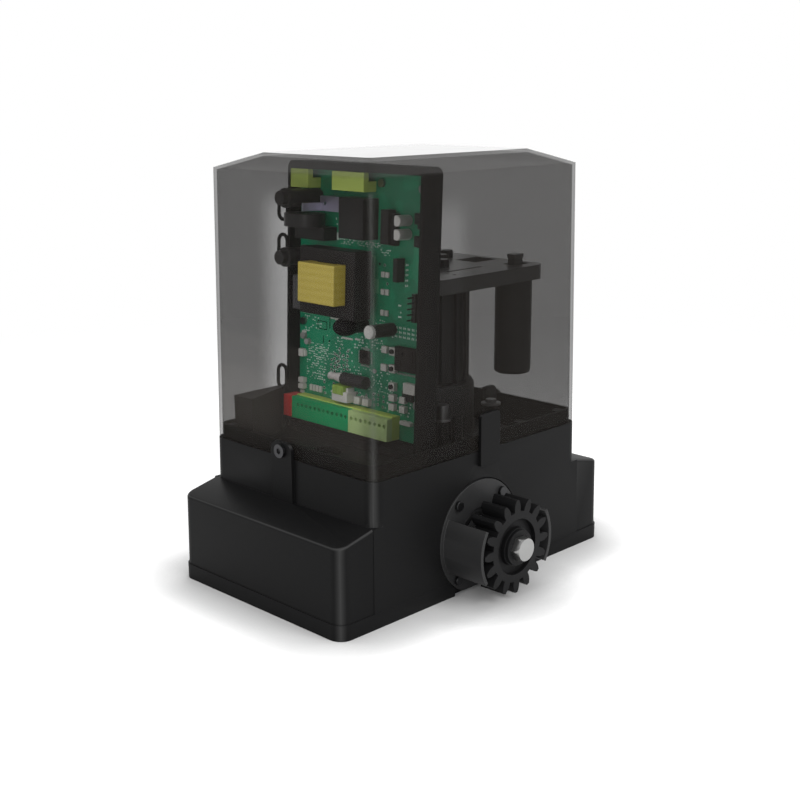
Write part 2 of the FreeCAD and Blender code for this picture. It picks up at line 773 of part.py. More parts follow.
# Two screws that pinch the cover between the tongues and the rim.
screw_face = outer_half_length + tongue_thickness
hex_socket = size("hex_socket", 4)
screws = []
for side in (-1, 1):
    head = rod("X", tongue_offset, screw_height, screw_face, screw_face + screw_head_height, screw_head_radius)
    shank = rod("X", tongue_offset, screw_height, inner_half_length + 0.5, screw_face + 0.5, screw_radius)
    socket_end = screw_face + screw_head_height + 1
    socket = hexagon("X", tongue_offset, screw_height, screw_face + 0.9, socket_end, hex_socket)
    screw = cut(fuse(head, shank), socket)
    if side < 0:
        mirrored = new("Part::Mirroring", "mirrored")
        mirrored.Source = screw
        mirrored.Normal = Vector(1, 0, 0)
        screw = mirrored
    screws.append(screw)
node("cover_screws", group(*screws))

# Gearbox case: an aluminium casting with a round room for the worm wheel, an upright
# bore for the worm, a seat for the rear bearing, a wider top deck and screwed feet.
wheel_pitch_radius = worm_module * wheel_teeth / 2
wheel_tip_radius = wheel_pitch_radius + worm_module
case_top = floor_thickness + case_height
rear_bearing_back = case_back - 8
case = body("gearbox_case")
drawing = sketch(case, "XY_Plane", floor_thickness)
rounded(drawing, case_left, case_right, -case_front, case_back, 6)
pad(case, drawing, case_height)
drawing = sketch(case, "XY_Plane", case_top)
rounded(drawing, case_deck_left, case_deck_right, -case_deck_front, case_back, 6)
pad(case, drawing, deck_thickness, reverse=True)
drawing = sketch(case, "XY_Plane", floor_thickness)
foot_thickness = size("foot_thickness", 8)
rounded(drawing, case_left - foot_reach, case_right + foot_reach, -case_front, case_back, 6)
pad(case, drawing, foot_thickness)
drawing = sketch(case, "XZ_Plane", case_front + 1)
circle(drawing, output_x, output_z, wheel_tip_radius + wheel_room)
wheel_back = motor_y + wheel_hub_width / 2
pocket(case, drawing, case_front + 1 + wheel_back + 2)
drawing = sketch(case, "XZ_Plane")
circle(drawing, output_x, output_z, bearing_radius + fit_gap)
pocket(case, drawing, rear_bearing_back)
drawing = sketch(case, "XY_Plane", case_top)
circle(drawing, motor_x, motor_y, small_bearing_radius + fit_gap)
worm_bore_bottom = floor_thickness + 4
pocket(case, drawing, case_top - worm_bore_bottom)
drawing = sketch(case, "XY_Plane", floor_thickness + foot_thickness)
for x, y in gearbox_screws:
    circle(drawing, x, y, gearbox_screw_radius + fit_gap)
pocket(case, drawing, foot_thickness)
lug_reach = front_lug_circle / math.sqrt(2)
lug_places = [(lug_reach * a, lug_reach * b) for a, b in ((1, 1), (-1, 1), (-1, -1), (1, -1))]
drawing = sketch(case, "XZ_Plane", case_front)
for across, up in lug_places:
    circle(drawing, output_x + across, output_z + up, front_screw_radius + fit_gap)
front_screw_depth = size("front_screw_depth", 12)
pocket(case, drawing, front_screw_depth)

# Three cast pillars stand on the front of its deck; two take small screws and the third,
# the earth terminal, ends in bright washers and a nut.
pillar_y = size("pillar_y", -44)
pillar_height = size("pillar_height", 22)
pillar_places = [size("left_pillar_x", 3), size("right_pillar_x", 19.4)]
earth_x = size("earth_x", 62)
earth_y = size("earth_y", -42)
earth_height = size("earth_height", 24)
drawing = sketch(case, "XY_Plane", case_top)
for x in pillar_places:
    circle(drawing, x, pillar_y, 4.6)
pad(case, drawing, pillar_height, size_of(1.5))
drawing = sketch(case, "XY_Plane", case_top)
circle(drawing, earth_x, earth_y, 5.5)
pad(case, drawing, earth_height)
cap_foot = case_top + pillar_height
cap_screw = fuse(rod("Z", pillar_places[0], pillar_y, cap_foot, cap_foot + 1.5, 6),
                 rod("Z", pillar_places[0], pillar_y, cap_foot + 1, cap_foot + 13, 4.8))
earth_top = case_top + earth_height
earth_nut = fuse(rod("Z", earth_x, earth_y, earth_top, earth_top + 1.6, 8),
                 hexagon("Z", earth_x, earth_y, earth_top + 1.5, earth_top + 4.5, 8))
node("pillar_hardware", group(cap_screw, earth_nut))

# Front cover of the gearbox: a flange with four screw lugs and a snout that reaches
# through the housing wall, bored for the front bearing and the shaft seal.
front_face = case_front + front_cover_thickness
seal_width = size("seal_width", 6)
seal_radius = size("seal_radius", 17.5)
bearing_front = recess_floor - seal_width
bearing_rear = bearing_front - bearing_width
front_cover = body("gearbox_front_cover", OUTPUT)
drawing = sketch(front_cover, "XZ_Plane")
shaft_hole = shaft_shoulder_radius + 1.5
flange_radius = output_z - floor_thickness - 0.5
outline(drawing, [
    (shaft_hole, case_front), (flange_radius, case_front), (flange_radius, front_face),
    (snout_radius + 3, front_face), (snout_radius, front_face + 6), (snout_radius, recess_floor),
    (seal_radius + fit_gap, recess_floor), (seal_radius + fit_gap, bearing_front),
    (bearing_radius + fit_gap, bearing_front), (bearing_radius + fit_gap, bearing_rear),
    (shaft_hole, bearing_rear)])
revolve(front_cover, drawing)
drawing = sketch(front_cover, "XY_Plane", case_front)
for across, up in lug_places:
    circle(drawing, across, up, front_lug_radius)
pad(front_cover, drawing, front_cover_thickness)
drawing = sketch(front_cover, "XY_Plane", case_front)
for across, up in lug_places:
    circle(drawing, across, up, front_screw_radius + fit_gap)
pocket(front_cover, drawing, front_cover_thickness, reverse=True)

# Bearings, seal and spacer on the output shaft.
bearings("output_bearings", OUTPUT, shaft_radius + fit_gap, bearing_radius, bearing_width,
         [bearing_rear, -rear_bearing_back])
ring("shaft_seal", OUTPUT, shaft_radius + fit_gap, seal_radius, bearing_front, recess_floor)
spacer_back = bearing_front + seal_width + 1
pinion_back = pinion_front - pinion_width
ring("pinion_spacer", OUTPUT, shaft_radius + fit_gap, shaft_radius + 5, spacer_back, pinion_back)

# Output shaft: turned steel, stepped for the wheel, with a threaded end for the bolt.
shaft_tip = pinion_front - 2
wheel_front = wheel_hub_width / 2 - motor_y
shoulder_front = bearing_rear - 2
thread_depth = size("thread_depth", 26)
key_depth = size("key_depth", 3)
key_proud = size("key_proud", 2.8)
turned_part("output_shaft", OUTPUT, [
    (0, -rear_bearing_back + 0.5), (shaft_radius, -rear_bearing_back + 0.5),
    (shaft_radius, bearing_width - rear_bearing_back + 1),
    (shaft_shoulder_radius, bearing_width - rear_bearing_back + 1),
    (shaft_shoulder_radius, shoulder_front), (shaft_radius, shoulder_front),
    (shaft_radius, shaft_tip), (bolt_radius + fit_gap, shaft_tip),
    (bolt_radius + fit_gap, shaft_tip - thread_depth), (0, shaft_tip - thread_depth - 3)])
output_shaft = nodes[-1]
pinion_key_back = pinion_back + 3
wheel_key_back = -wheel_back + 4
wheel_key_front = wheel_front - 4
for seat_radius, start, end in ((shaft_radius, pinion_key_back, shaft_tip),
                                (shaft_shoulder_radius, wheel_key_back, wheel_key_front)):
    drawing = sketch(output_shaft, "XY_Plane", end)
    rectangle(drawing, -key_width / 2, key_width / 2, seat_radius - key_depth, seat_radius + 3)
    pocket(output_shaft, drawing, size_of(end) - start)
keys = []
for seat_radius, start, end in ((shaft_radius, pinion_key_back, shaft_tip),
                                (shaft_shoulder_radius, wheel_key_back, wheel_key_front)):
    half_key = key_width / 2 - fit_gap
    keys.append(block(-half_key, half_key, seat_radius - key_depth + fit_gap, seat_radius + key_proud,
                      start + fit_gap, end - fit_gap))
node("shaft_keys", group(*keys), OUTPUT)


def tooth_points(module, pitch_radius, root_radius, shares, turn=0):
    """Half-widths of one tooth at rising radii, as shares of the module, mirrored."""
    steps = [(share, root_radius + (pitch_radius + module - root_radius) * rise) for share, rise in shares]
    side = [(module * share, radius) for share, radius in steps]
    points = [(-x, y) for x, y in side] + [(x, y) for x, y in reversed(side)]
    if not turn:
        return points
    c, s = math.cos(math.radians(turn)), math.sin(math.radians(turn))
    return [(x * c - y * s, x * s + y * c) for x, y in points]


# Pinion: 16 involute teeth of module 4, a dished face, a hub and a keyed bore.
pinion_pitch_radius = pinion_module * pinion_teeth / 2
pinion_root_radius = pinion_pitch_radius - pinion_module * 1.25
PINION_TOOTH = [(0.80, -0.06), (0.83, 0.2), (0.85, 0.341), (0.775, 0.556), (0.60, 0.778), (0.334, 1.0)]
pinion = body("output_pinion", OUTPUT)
drawing = sketch(pinion, "XY_Plane", pinion_back)
circle(drawing, 0, 0, pinion_root_radius)
pad(pinion, drawing, pinion_width)
drawing = sketch(pinion, "XY_Plane", pinion_back)
outline(drawing, tooth_points(pinion_module, pinion_pitch_radius, pinion_root_radius, PINION_TOOTH))
tooth = pad(pinion, drawing, pinion_width)
repeat_round(pinion, tooth, pinion_teeth)
for face, away in ((pinion_front, False), (pinion_back, True)):
    drawing = sketch(pinion, "XY_Plane", face)
    circle(drawing, 0, 0, face_groove_radius)
    circle(drawing, 0, 0, hub_face_radius)
    pocket(pinion, drawing, face_groove_depth, reverse=away)
drawing = sketch(pinion, "XY_Plane", pinion_front)
circle(drawing, 0, 0, shaft_radius + fit_gap)
pocket(pinion, drawing, pinion_width)
drawing = sketch(pinion, "XY_Plane", pinion_front)
rectangle(drawing, -key_width / 2, key_width / 2, 0, shaft_radius + key_proud + fit_gap)
pocket(pinion, drawing, pinion_width)

head_seat = pinion_front + washer_thickness
ring("pinion_washer", OUTPUT, bolt_radius + fit_gap, washer_radius, pinion_front, head_seat)
bolt_length = size("bolt_length", 25)
bolt_head = hexagon("Z", 0, 0, head_seat, head_seat + bolt_head_height, bolt_flats)
bolt_shank = rod("Z", 0, 0, head_seat - bolt_length, head_seat + 1, bolt_radius)
head_cone = cone("Z", 0, 0, head_seat - 6, head_seat + bolt_head_height, bolt_flats * 0.5 + 4, bolt_flats * 0.5)
chamfered_head = new("Part::Common", "chamfered_head")
chamfered_head.Base = bolt_head
chamfered_head.Tool = head_cone
node("pinion_bolt", fuse(bolt_shank, chamfered_head), OUTPUT)

# Worm wheel: bronze, 30 teeth of module 2, set over to the worm's lead.
wheel_root_radius = wheel_pitch_radius - worm_module * 1.2
WHEEL_TOOTH = [(0.90, -0.08), (0.86, 0.2), (0.70, 0.546), (0.36, 1.0)]
wheel = body("worm_wheel", OUTPUT)
wheel_middle = -motor_y
wheel_start = wheel_middle - wheel_width / 2
drawing = sketch(wheel, "XY_Plane", wheel_start)
circle(drawing, 0, 0, wheel_root_radius)
pad(wheel, drawing, wheel_width)
lead_slope = worm_module / (worm_pitch_radius * 2)
half_turn = math.degrees(lead_slope.value * wheel_width.value / 2 / wheel_pitch_radius.value)
drawings = []
for turn, height in ((-half_turn, wheel_start), (half_turn, wheel_start + wheel_width)):
    drawing = sketch(wheel, "XY_Plane", height)
    outline(drawing, tooth_points(worm_module, wheel_pitch_radius, wheel_root_radius, WHEEL_TOOTH, turn - 90))
    drawings.append(drawing)
tooth = feature(wheel, "AdditiveLoft", drawings[0])
tooth.Sections = drawings[1:]
tooth.Ruled = True
repeat_round(wheel, tooth, wheel_teeth)
drawing = sketch(wheel, "XY_Plane", -wheel_back)
circle(drawing, 0, 0, wheel_hub_radius)
pad(wheel, drawing, wheel_hub_width)
drawing = sketch(wheel, "XY_Plane", wheel_front)
circle(drawing, 0, 0, shaft_shoulder_radius + fit_gap)
pocket(wheel, drawing, wheel_hub_width)
drawing = sketch(wheel, "XY_Plane", wheel_front)
rectangle(drawing, -key_width / 2, key_width / 2, 0, shaft_shoulder_radius + key_proud + fit_gap)
pocket(wheel, drawing, wheel_hub_width)

# Worm shaft: one steel shaft from the lower gearbox bearing to the top bearing, with a
# single-start thread of module 2 cut into it.
worm_lead = worm_module * math.pi
worm_root_radius = worm_pitch_radius - worm_module * 1.2
worm_turns = 4
worm_start = output_z - worm_lead * worm_turns / 2
upper_bearing_top = case_top - 4
top_bearing_top = plate_top - plate_web - 8
worm_shaft = body("worm_shaft", MOTOR)
drawing = sketch(worm_shaft, "XZ_Plane")
collar = rotor_shaft_radius + 2.5
outline(drawing, [
    (0, worm_bore_bottom + 0.5), (rotor_shaft_radius, worm_bore_bottom + 0.5),
    (rotor_shaft_radius, worm_start - worm_lead / 2), (worm_root_radius, worm_start - worm_lead / 2),
    (worm_root_radius, output_z * 2 - worm_start + worm_lead / 2),
    (collar, output_z * 2 - worm_start + worm_lead / 2 + 1),
    (collar, upper_bearing_top - small_bearing_width),
    (rotor_shaft_radius, upper_bearing_top - small_bearing_width),
    (rotor_shaft_radius, top_bearing_top), (0, top_bearing_top)])
revolve(worm_shaft, drawing)
drawing = sketch(worm_shaft, "XZ_Plane")
flank = math.tan(math.radians(20))
thread_half = worm_lead / 4 - thread_play
root_half = thread_half + worm_module * 1.3 * flank
tip_half = thread_half - worm_module * flank
inner = worm_root_radius - worm_module * 0.1
tip = worm_pitch_radius + worm_module
outline(drawing, [(inner, worm_start - root_half), (tip, worm_start - tip_half),
                  (tip, worm_start + tip_half), (inner, worm_start + root_half)])
thread = feature(worm_shaft, "AdditiveHelix", drawing)
thread.ReferenceAxis = (drawing, ["V_Axis"])
thread.Mode = 0
tie(thread, "Pitch", worm_lead)
tie(thread, "Height", worm_lead * worm_turns)

bore = rotor_shaft_radius + fit_gap
bearings("rotor_bearings", MOTOR, bore, small_bearing_radius, small_bearing_width,
         [worm_bore_bottom, upper_bearing_top - small_bearing_width, top_bearing_top - small_bearing_width])

# Motor: a lower end shield on the gearbox deck, a finned tube with the laminated stator
# and its windings inside, a rotor on the worm shaft and four tie rods.
shield_top = case_top + shield_height
shield_floor = size("shield_floor", 6)
tube_bore = stator_radius + fit_gap
tube_radius = stator_radius + motor_tube_wall
tube_top = plate_top - plate_web
turned_part("motor_lower_shield", MOTOR, [
    (rotor_shaft_radius + 2, case_top), (shield_radius, case_top), (shield_radius, shield_top - 4),
    (shield_radius - 2, shield_top), (stator_radius - 3, shield_top),
    (stator_radius - 3, case_top + shield_floor),
    (rotor_shaft_radius + 2, case_top + shield_floor)])
motor_tube = body("motor_tube", MOTOR)
drawing = sketch(motor_tube, "XY_Plane", shield_top)
circle(drawing, 0, 0, tube_radius)
circle(drawing, 0, 0, tube_bore)
pad(motor_tube, drawing, tube_top - shield_top)
drawing = sketch(motor_tube, "XY_Plane", shield_top)
rectangle(drawing, tube_radius - 0.5, tube_radius + fin_reach, -fin_thickness / 2, fin_thickness / 2)
fin = pad(motor_tube, drawing, tube_top - shield_top)
repeat_round(motor_tube, fin, size("fin_count", 16))

stator_bottom = shield_top + winding_overhang + 2
stator_top = tube_top - winding_clearance - winding_overhang
ring("stator_core", MOTOR, stator_bore, stator_radius, stator_bottom, stator_top)
coil_outer = stator_radius - 2
coil_inner = stator_bore + 1.5
windings = []
for start in (stator_bottom - winding_overhang, stator_top):
    outer = rod("Z", 0, 0, start, start + winding_overhang, coil_outer)
    inner_rod = rod("Z", 0, 0, start - 1, start + winding_overhang + 1, coil_inner)
    windings.append(cut(outer, inner_rod))
node("stator_windings", group(*windings), MOTOR)
ring("rotor_core", MOTOR, bore, stator_bore - air_gap, stator_bottom, stator_top)
tie_rod_circle = tube_radius + tie_rod_radius + 0.2
tie_rods = []
for angle in (45, 135, 225, 315):
    turn = math.radians(angle + 11.25)
    tie_rods.append(rod("Z", tie_rod_circle * math.cos(turn), tie_rod_circle * math.sin(turn),
                        shield_top, tube_top, tie_rod_radius))
node("motor_tie_rods", group(*tie_rods), MOTOR)

# Top bracket plate: a shallow black tray upside down that clamps the motor, holds the
# top bearing and carries the capacitor under its free end.
plate = body("top_bracket_plate")
drawing = sketch(plate, "XY_Plane", plate_top)
rounded(drawing, plate_left, plate_right, -plate_half_depth, plate_half_depth, plate_corner)
pad(plate, drawing, plate_rim, reverse=True)
plate_wall = size("plate_wall", 2.5)
drawing = sketch(plate, "XY_Plane", plate_top - plate_rim)
rounded(drawing, plate_left + plate_wall, plate_right - plate_wall,
        plate_wall - plate_half_depth, plate_half_depth - plate_wall, plate_corner - plate_wall)
pocket(plate, drawing, plate_rim - plate_web, reverse=True)
drawing = sketch(plate, "XY_Plane", tube_top)
circle(drawing, motor_x, motor_y, small_bearing_radius + 4)
pad(plate, drawing, tube_top - top_bearing_top + small_bearing_width, reverse=True)
drawing = sketch(plate, "XY_Plane", top_bearing_top - small_bearing_width)
circle(drawing, motor_x, motor_y, small_bearing_radius + fit_gap)
pocket(plate, drawing, small_bearing_width, reverse=True)
window_length = size("window_length", 26)
window_depth = size("window_depth", 21.5)
window_x = size("window_x", 72)
window_y = size("window_y", -15.5)
clip_slot_length = size("clip_slot_length", 20)
clip_slot_depth = size("clip_slot_depth", 13)
drawing = sketch(plate, "XY_Plane", plate_top)
rectangle(drawing, window_x, window_x + window_length, window_y, window_y + window_depth)
rectangle(drawing, capacitor_x - 7, capacitor_x - 7 + clip_slot_length,
          capacitor_y - clip_slot_depth / 2, capacitor_y + clip_slot_depth / 2)
rectangle(drawing, motor_x - 18, motor_x + 24, motor_y - 41, motor_y - 38)
rectangle(drawing, window_x - 1, window_x + 2, window_y + window_depth + 6, window_y + window_depth + 40)
circle(drawing, motor_x - 22.7, -plate_half_depth + 12.5, 1.6)
pocket(plate, drawing, plate_web)
plate_screw_circle = size("plate_screw_circle", 20)
plate_screws = []
plate_screw_places = [(motor_x + plate_screw_circle * a, motor_y + plate_screw_circle * b)
                      for a, b in ((1, 0), (0, 1), (-1, 0), (0, -1))]
plate_screw_places.append((window_x + 5, window_y + window_depth + 15))
for x, y in plate_screw_places:
    plate_screws.append(hexagon("Z", x, y, plate_top, plate_top + 6.5, 10))
node("plate_screws", group(*plate_screws))

# Run capacitor with its clip standing up through the plate.
capacitor = body("run_capacitor")
capacitor_top = tube_top
drawing = sketch(capacitor, "XZ_Plane")
capacitor_bottom = capacitor_top - capacitor_length
outline(drawing, [(0, capacitor_bottom), (capacitor_radius - 1.5, capacitor_bottom),
                  (capacitor_radius, capacitor_bottom + 1.5), (capacitor_radius, capacitor_top),
                  (0, capacitor_top)])
revolve(capacitor, drawing)
tie_base(capacitor, capacitor_x, capacitor_y, 0)
clip_top = plate_top + size("clip_rise", 8)
clip_post = block(capacitor_x - 4, capacitor_x + 6, capacitor_y - 4, capacitor_y + 3,
                  capacitor_top, clip_top - 2)
clip_head = block(capacitor_x - 4.5, capacitor_x + 6.5, capacitor_y - 4.5, capacitor_y + 3.5,
                  clip_top - 3, clip_top)
node("capacitor_clip", fuse(clip_post, clip_head))

# Pinion guard: a flange in the recess with two curved shields that leave the top open
# for the rack and the bottom open for dirt.
guard = body("pinion_guard", OUTPUT)
guard_base = recess_floor
drawing = sketch(guard, "XY_Plane", guard_base)
circle(drawing, 0, 0, recess_radius - guard_flange_gap)
circle(drawing, 0, 0, shaft_radius + 12)
pad(guard, drawing, guard_flange)
drawing = sketch(guard, "XY_Plane", guard_base)
circle(drawing, 0, 0, guard_radius)
circle(drawing, 0, 0, guard_radius - guard_wall)
pad(guard, drawing, pinion_front - guard_base)
drawing = sketch(guard, "XY_Plane", pinion_front)
spread = guard_radius * 2
half_opening = math.radians(guard_opening.value)
opening_x = spread * math.sin(half_opening)
opening_y = spread * math.cos(half_opening)
for sign in (-1, 1):
    outline(drawing, [(0, 0), (opening_x * sign, opening_y * sign), (0, spread * 1.5 * sign),
                      (opening_x * -sign, opening_y * sign)])
pocket(guard, drawing, pinion_front - guard_base - guard_flange)
drawing = sketch(guard, "XY_Plane", guard_base + guard_flange)
rectangle(drawing, -recess_radius, recess_radius, -recess_radius - 1, 1.5 - output_z)
for across, up in guard_screws:
    circle(drawing, across, up, guard_screw_radius + fit_gap)
pocket(guard, drawing, guard_flange)
screws = []
flange_face = guard_base + guard_flange
for across, up in guard_screws:
    head = rod("Z", across, up, flange_face, flange_face + 2.6, guard_screw_radius * 1.9)
    shank = rod("Z", across, up, guard_base - 2.5, flange_face + 1, guard_screw_radius - fit_gap)
    screws.append(fuse(head, shank))
node("guard_screws", group(*screws), OUTPUT)

# Screws that hold the gearbox to the floor and its front cover to the case, and the
# upright lug on its deck.
screws = []
for across, up in lug_places:
    x, z = output_x + across, output_z + up
    head = hexagon("Y", x, z, -front_face - 4, -front_face, 8)
    shank = rod("Y", x, z, -front_face - 1, front_screw_depth - case_front - 1, front_screw_radius)
    screws.append(fuse(head, shank))
for x, y in gearbox_screws:
    head = hexagon("Z", x, y, floor_thickness + foot_thickness, floor_thickness + foot_thickness + 5, 10)
    shank = rod("Z", x, y, 1, floor_thickness + foot_thickness + 1, gearbox_screw_radius)
    screws.append(fuse(head, shank))
node("gearbox_screws", group(*screws))
lug_x = size("lug_x", 79)
lug = body("cable_lug")
drawing = sketch(lug, "XZ_Plane", 24)
rounded(drawing, lug_x - 6.5, lug_x + 6.5, case_top, case_top + 34, 5)
pad(lug, drawing, 4)
drawing = sketch(lug, "XZ_Plane", 24)
rectangle(drawing, lug_x - 6.5, lug_x + 6.5, case_top, case_top + 8)
pad(lug, drawing, 4)

# Electronics deck: a black moulded floor on four bosses, with a cable duct along its
# back edge and a wedge that sets the board tray leaning.
deck = body("electronics_deck")
lean = board_lean.tangent()
wedge_half = size("wedge_half", 62)
wedge_back = tray_x + tray_depth
drawing = sketch(deck, "XY_Plane", deck_underside)
rectangle(drawing, electronics_deck_left, electronics_deck_right,
          -electronics_deck_half_depth, electronics_deck_half_depth)
pad(deck, drawing, electronics_deck_thickness)
drawing = sketch(deck, "XZ_Plane")
outline(drawing, [(tray_x, deck_underside + 1), (wedge_back, deck_underside + 1),
                  (wedge_back, tray_bottom - tray_depth * lean), (tray_x, tray_bottom)])
pad(deck, drawing, wedge_half * 2, both=True)
duct_left = electronics_deck_left + 7
duct_back = electronics_deck_half_depth - 1
duct_front = duct_back - duct_depth
drawing = sketch(deck, "XY_Plane", deck_underside)
rectangle(drawing, duct_left, tray_x - 3, duct_front, duct_back)
pad(deck, drawing, duct_top - deck_underside)
drawing = sketch(deck, "XY_Plane", deck_underside)
rectangle(drawing, duct_left + duct_wall, tray_x - 3 - duct_wall, duct_front + duct_wall, duct_back - duct_wall)
pocket(deck, drawing, duct_top - deck_underside - duct_wall, reverse=True)
drawing = sketch(deck, "XY_Plane", electronics_deck_top)
for y in (-1, 1):
    slot(drawing, anchor_spacing_x / -2, anchor_spacing_y * y / 2, anchor_slot_length, anchor_slot_width * 1.6)
circle(drawing, cable_entry_x + 2, 0, cable_entry_radius - 2)
deck_screw_radius = size("deck_screw_radius", 2)
for x, y in deck_bosses:
    circle(drawing, x, y, deck_screw_radius + fit_gap)
pocket(deck, drawing, electronics_deck_thickness)
screws = []
for x, y in deck_bosses:
    screws.append(rod("Z", x, y, electronics_deck_top, electronics_deck_top + 2.6, deck_screw_radius * 2))
node("deck_screws", group(*screws))

# Board tray: a deep black frame with a back wall, a heavier head, round top corners, a
# cut-out for the lower terminals and five bosses for the board.
tray = body("board_tray", BOARD)
half_tray = tray_width / 2
drawing = sketch(tray, "YZ_Plane")
rounded(drawing, -half_tray, half_tray, 0, tray_height, tray_corner)
pad(tray, drawing, tray_depth)
drawing = sketch(tray, "YZ_Plane")
rounded(drawing, tray_wall - half_tray, half_tray - tray_wall,
        tray_wall, tray_height - tray_wall, tray_corner - tray_wall)
pocket(tray, drawing, tray_depth - tray_wall, reverse=True)
drawing = sketch(tray, "YZ_Plane")
rectangle(drawing, tray_wall - half_tray - 0.5, half_tray - tray_wall + 0.5,
          tray_height - tray_head, tray_height - tray_wall + 0.5)
pad(tray, drawing, board_recess - 0.5)
drawing = sketch(tray, "YZ_Plane")
terminal_top = size("terminal_top", 25.5)
rectangle(drawing, half_tray - tray_wall - 1, half_tray + 1, tray_wall + 2, terminal_top + 2)
pocket(tray, drawing, board_recess + board_thickness, reverse=True)
board_back = board_recess + board_thickness
stand_edge = board_width / 2 - 7
board_top = board_bottom + board_height
stands = [(-stand_edge, board_bottom + 29), (-stand_edge, board_top - 9), (-stand_edge / 3, board_top - 7),
          (stand_edge + 2, board_bottom + 76), (stand_edge + 2, board_bottom + 133)]
drawing = sketch(tray, "YZ_Plane", board_back)
for y, z in stands:
    circle(drawing, y, z, 3.5)
pad(tray, drawing, tray_depth - tray_wall - board_back)
eye_radius = size("eye_radius", 4)
eye_wire = size("eye_wire", 2.6)
eyes = []
for z in (size("upper_eye_z", 140), size("lower_eye_z", 39)):
    eye_middle = half_tray + eye_radius / 2
    eye = rod("X", eye_middle, z, 3.7, 6.3, eye_radius + eye_wire / 2)
    eye_hole = rod("X", eye_middle, z, 3, 7, eye_radius - eye_wire / 2)
    wall = block(0, 10, half_tray - 20, half_tray, z - 15, z + 15)
    eyes.append(cut(eye, eye_hole, wall))
node("cable_eyes", group(*eyes), BOARD)

# Circuit board with its screws.
board = body("circuit_board", BOARD)
drawing = sketch(board, "YZ_Plane", board_recess)
rectangle(drawing, -board_width / 2, board_width / 2, board_bottom, board_bottom + board_height)
pad(board, drawing, board_thickness)
drawing = sketch(board, "YZ_Plane", board_recess)
for y, z in stands:
    circle(drawing, y, z, 1.6)
pocket(board, drawing, board_thickness, reverse=True)
screws = []
for y, z in stands:
    screws.append(rod("X", y, z, board_recess - 2, board_recess, 3))
node("board_screws", group(*screws), BOARD)


def component(reach, y0, y1, z0, z1, foot=0):
    """A block that stands out from the face of the board."""
    return block(board_recess - reach, board_recess - foot, y0, y1, z0, z1)


def can(reach, y, z, radius, foot=0):
    """A round component that stands out from the face of the board."""
    return rod("X", y, z, board_recess - reach, board_recess - foot, radius)


# Mains transformer: laminated core with two windows and the wound bobbin through them.
core_y = size("core_y", 10.1)
core_z = size("core_z", 120.3)
core_width = size("core_width", 60)
core_height = size("core_height", 50)
core_stack = size("core_stack", 16.8)
core_foot = size("core_foot", 9)
coil_bulge = size("coil_bulge", 11)
leg = core_width / 6
window_half = core_height / 2 - leg
core_front = core_foot + core_stack
core = component(core_front, core_y - core_width / 2, core_y + core_width / 2,
                 core_z - core_height / 2, core_z + core_height / 2, core_foot)
windows = [component(core_front + 1, core_y + leg * s, core_y + leg * (s + 1), core_z - window_half,
                     core_z + window_half, core_foot - 1) for s in (-2, 1)]
node("transformer_core", cut(core, *windows), BOARD)
coil_gap = size("coil_gap", 0.2)
coil_block = component(core_front + coil_bulge, core_y - leg * 2 + coil_gap, core_y + leg * 2 - coil_gap,
                       core_z - window_half + coil_gap, core_z + window_half - coil_gap)
leg_room = component(core_front + coil_gap, core_y - leg - coil_gap, core_y + leg + coil_gap,
                     core_z - window_half - 1, core_z + window_half + 1, core_foot - coil_gap)
node("transformer_winding", cut(coil_block, leg_room), BOARD)

# Relay, fuses, choke and the other power parts.
node("power_relay", component(16, -17.3, 8.7, 153, 183), BOARD)
fuse_places = [(48.8, 180.3), (48.8, 136.3)]
fuses = [fuse(can(30, y, z, 6.6), can(34, y, z, 7.4, 29.5), can(39, y, z, 5.4, 33.5)) for y, z in fuse_places]
node("fuse_holders", group(*fuses), BOARD)
choke_radius = size("choke_radius", 15.5)
choke_middle = board_recess - choke_radius - 1.5
choke = rod("Z", choke_middle, 45, 159, 169, choke_radius)
choke_hole = rod("Z", choke_middle, 45, 158, 170, choke_radius * 0.4)
node("choke_ring", cut(choke, choke_hole), BOARD)
node("choke_base", component(14, 27, 60, 149, 159), BOARD)
arm = component(32, 29.8, 31.3, 171.5, 177.5, 12)
leaf = component(14, 10.8, 31.3, 171.5, 182.5, 12.5)
stem = component(14, 29.8, 31.3, 171.5, 182.5)
node("heat_sink_tab", cut(fuse(arm, leaf, stem), can(15, 25.5, 177.2, 1.2, 12)), BOARD)
terminals = []
for y0, y1 in ((46, 66), (-14.3, 19.7)):
    terminals.append(fuse(component(13, y0, y1, 187.4, 195), component(13, y0, y1, 194, 201.3, 8)))
node("upper_terminals", group(*terminals), BOARD)
cans = [(13, -48.1, 169.3, 4), (13, -48.1, 159.4, 4), (25, -34.3, 89, 5), (20, -4.5, 88.6, 5.6)]
node("electrolytic_capacitors", group(*[can(*place_of) for place_of in cans]), BOARD)
node("film_capacitor", component(12, 52, 64, 94, 120), BOARD)

# Logic parts: processor, radio module, headers, the antenna socket and small blocks.
chips = [(8, -35, -27, 151, 176), (1.8, -11, -2, 59.5, 68.5), (2, -62, -55, 167, 175), (2, -62, -55, 151, 159)]
node("integrated_circuits", group(*[component(*place_of) for place_of in chips]), BOARD)
node("radio_module", component(9, -62, -41, 60, 78), BOARD)
pins = [can(14, -62.2, 100 + 4 * i, 0.6, 7.5) for i in range(5)]
header = component(8, -64, -60.5, 98, 118.5)
node("pin_headers", group(fuse(header, *pins), component(8, -45, -41, 125, 142)), BOARD)
socket_x = board_recess - 5
barrel = rod("Y", socket_x, 45.5, -12.6, 12.4, 4.8)
neck = cone("Y", socket_x, 45.5, 12.4, 24.5, 4.4, 2.3)
node("antenna_socket", fuse(barrel, neck, rod("Y", socket_x, 45.5, 24, 27.5, 2.8)), BOARD)
plug_in = fuse(component(10, 3, 20, 28, 36), component(7, 5, 17, 35.5, 38.8))
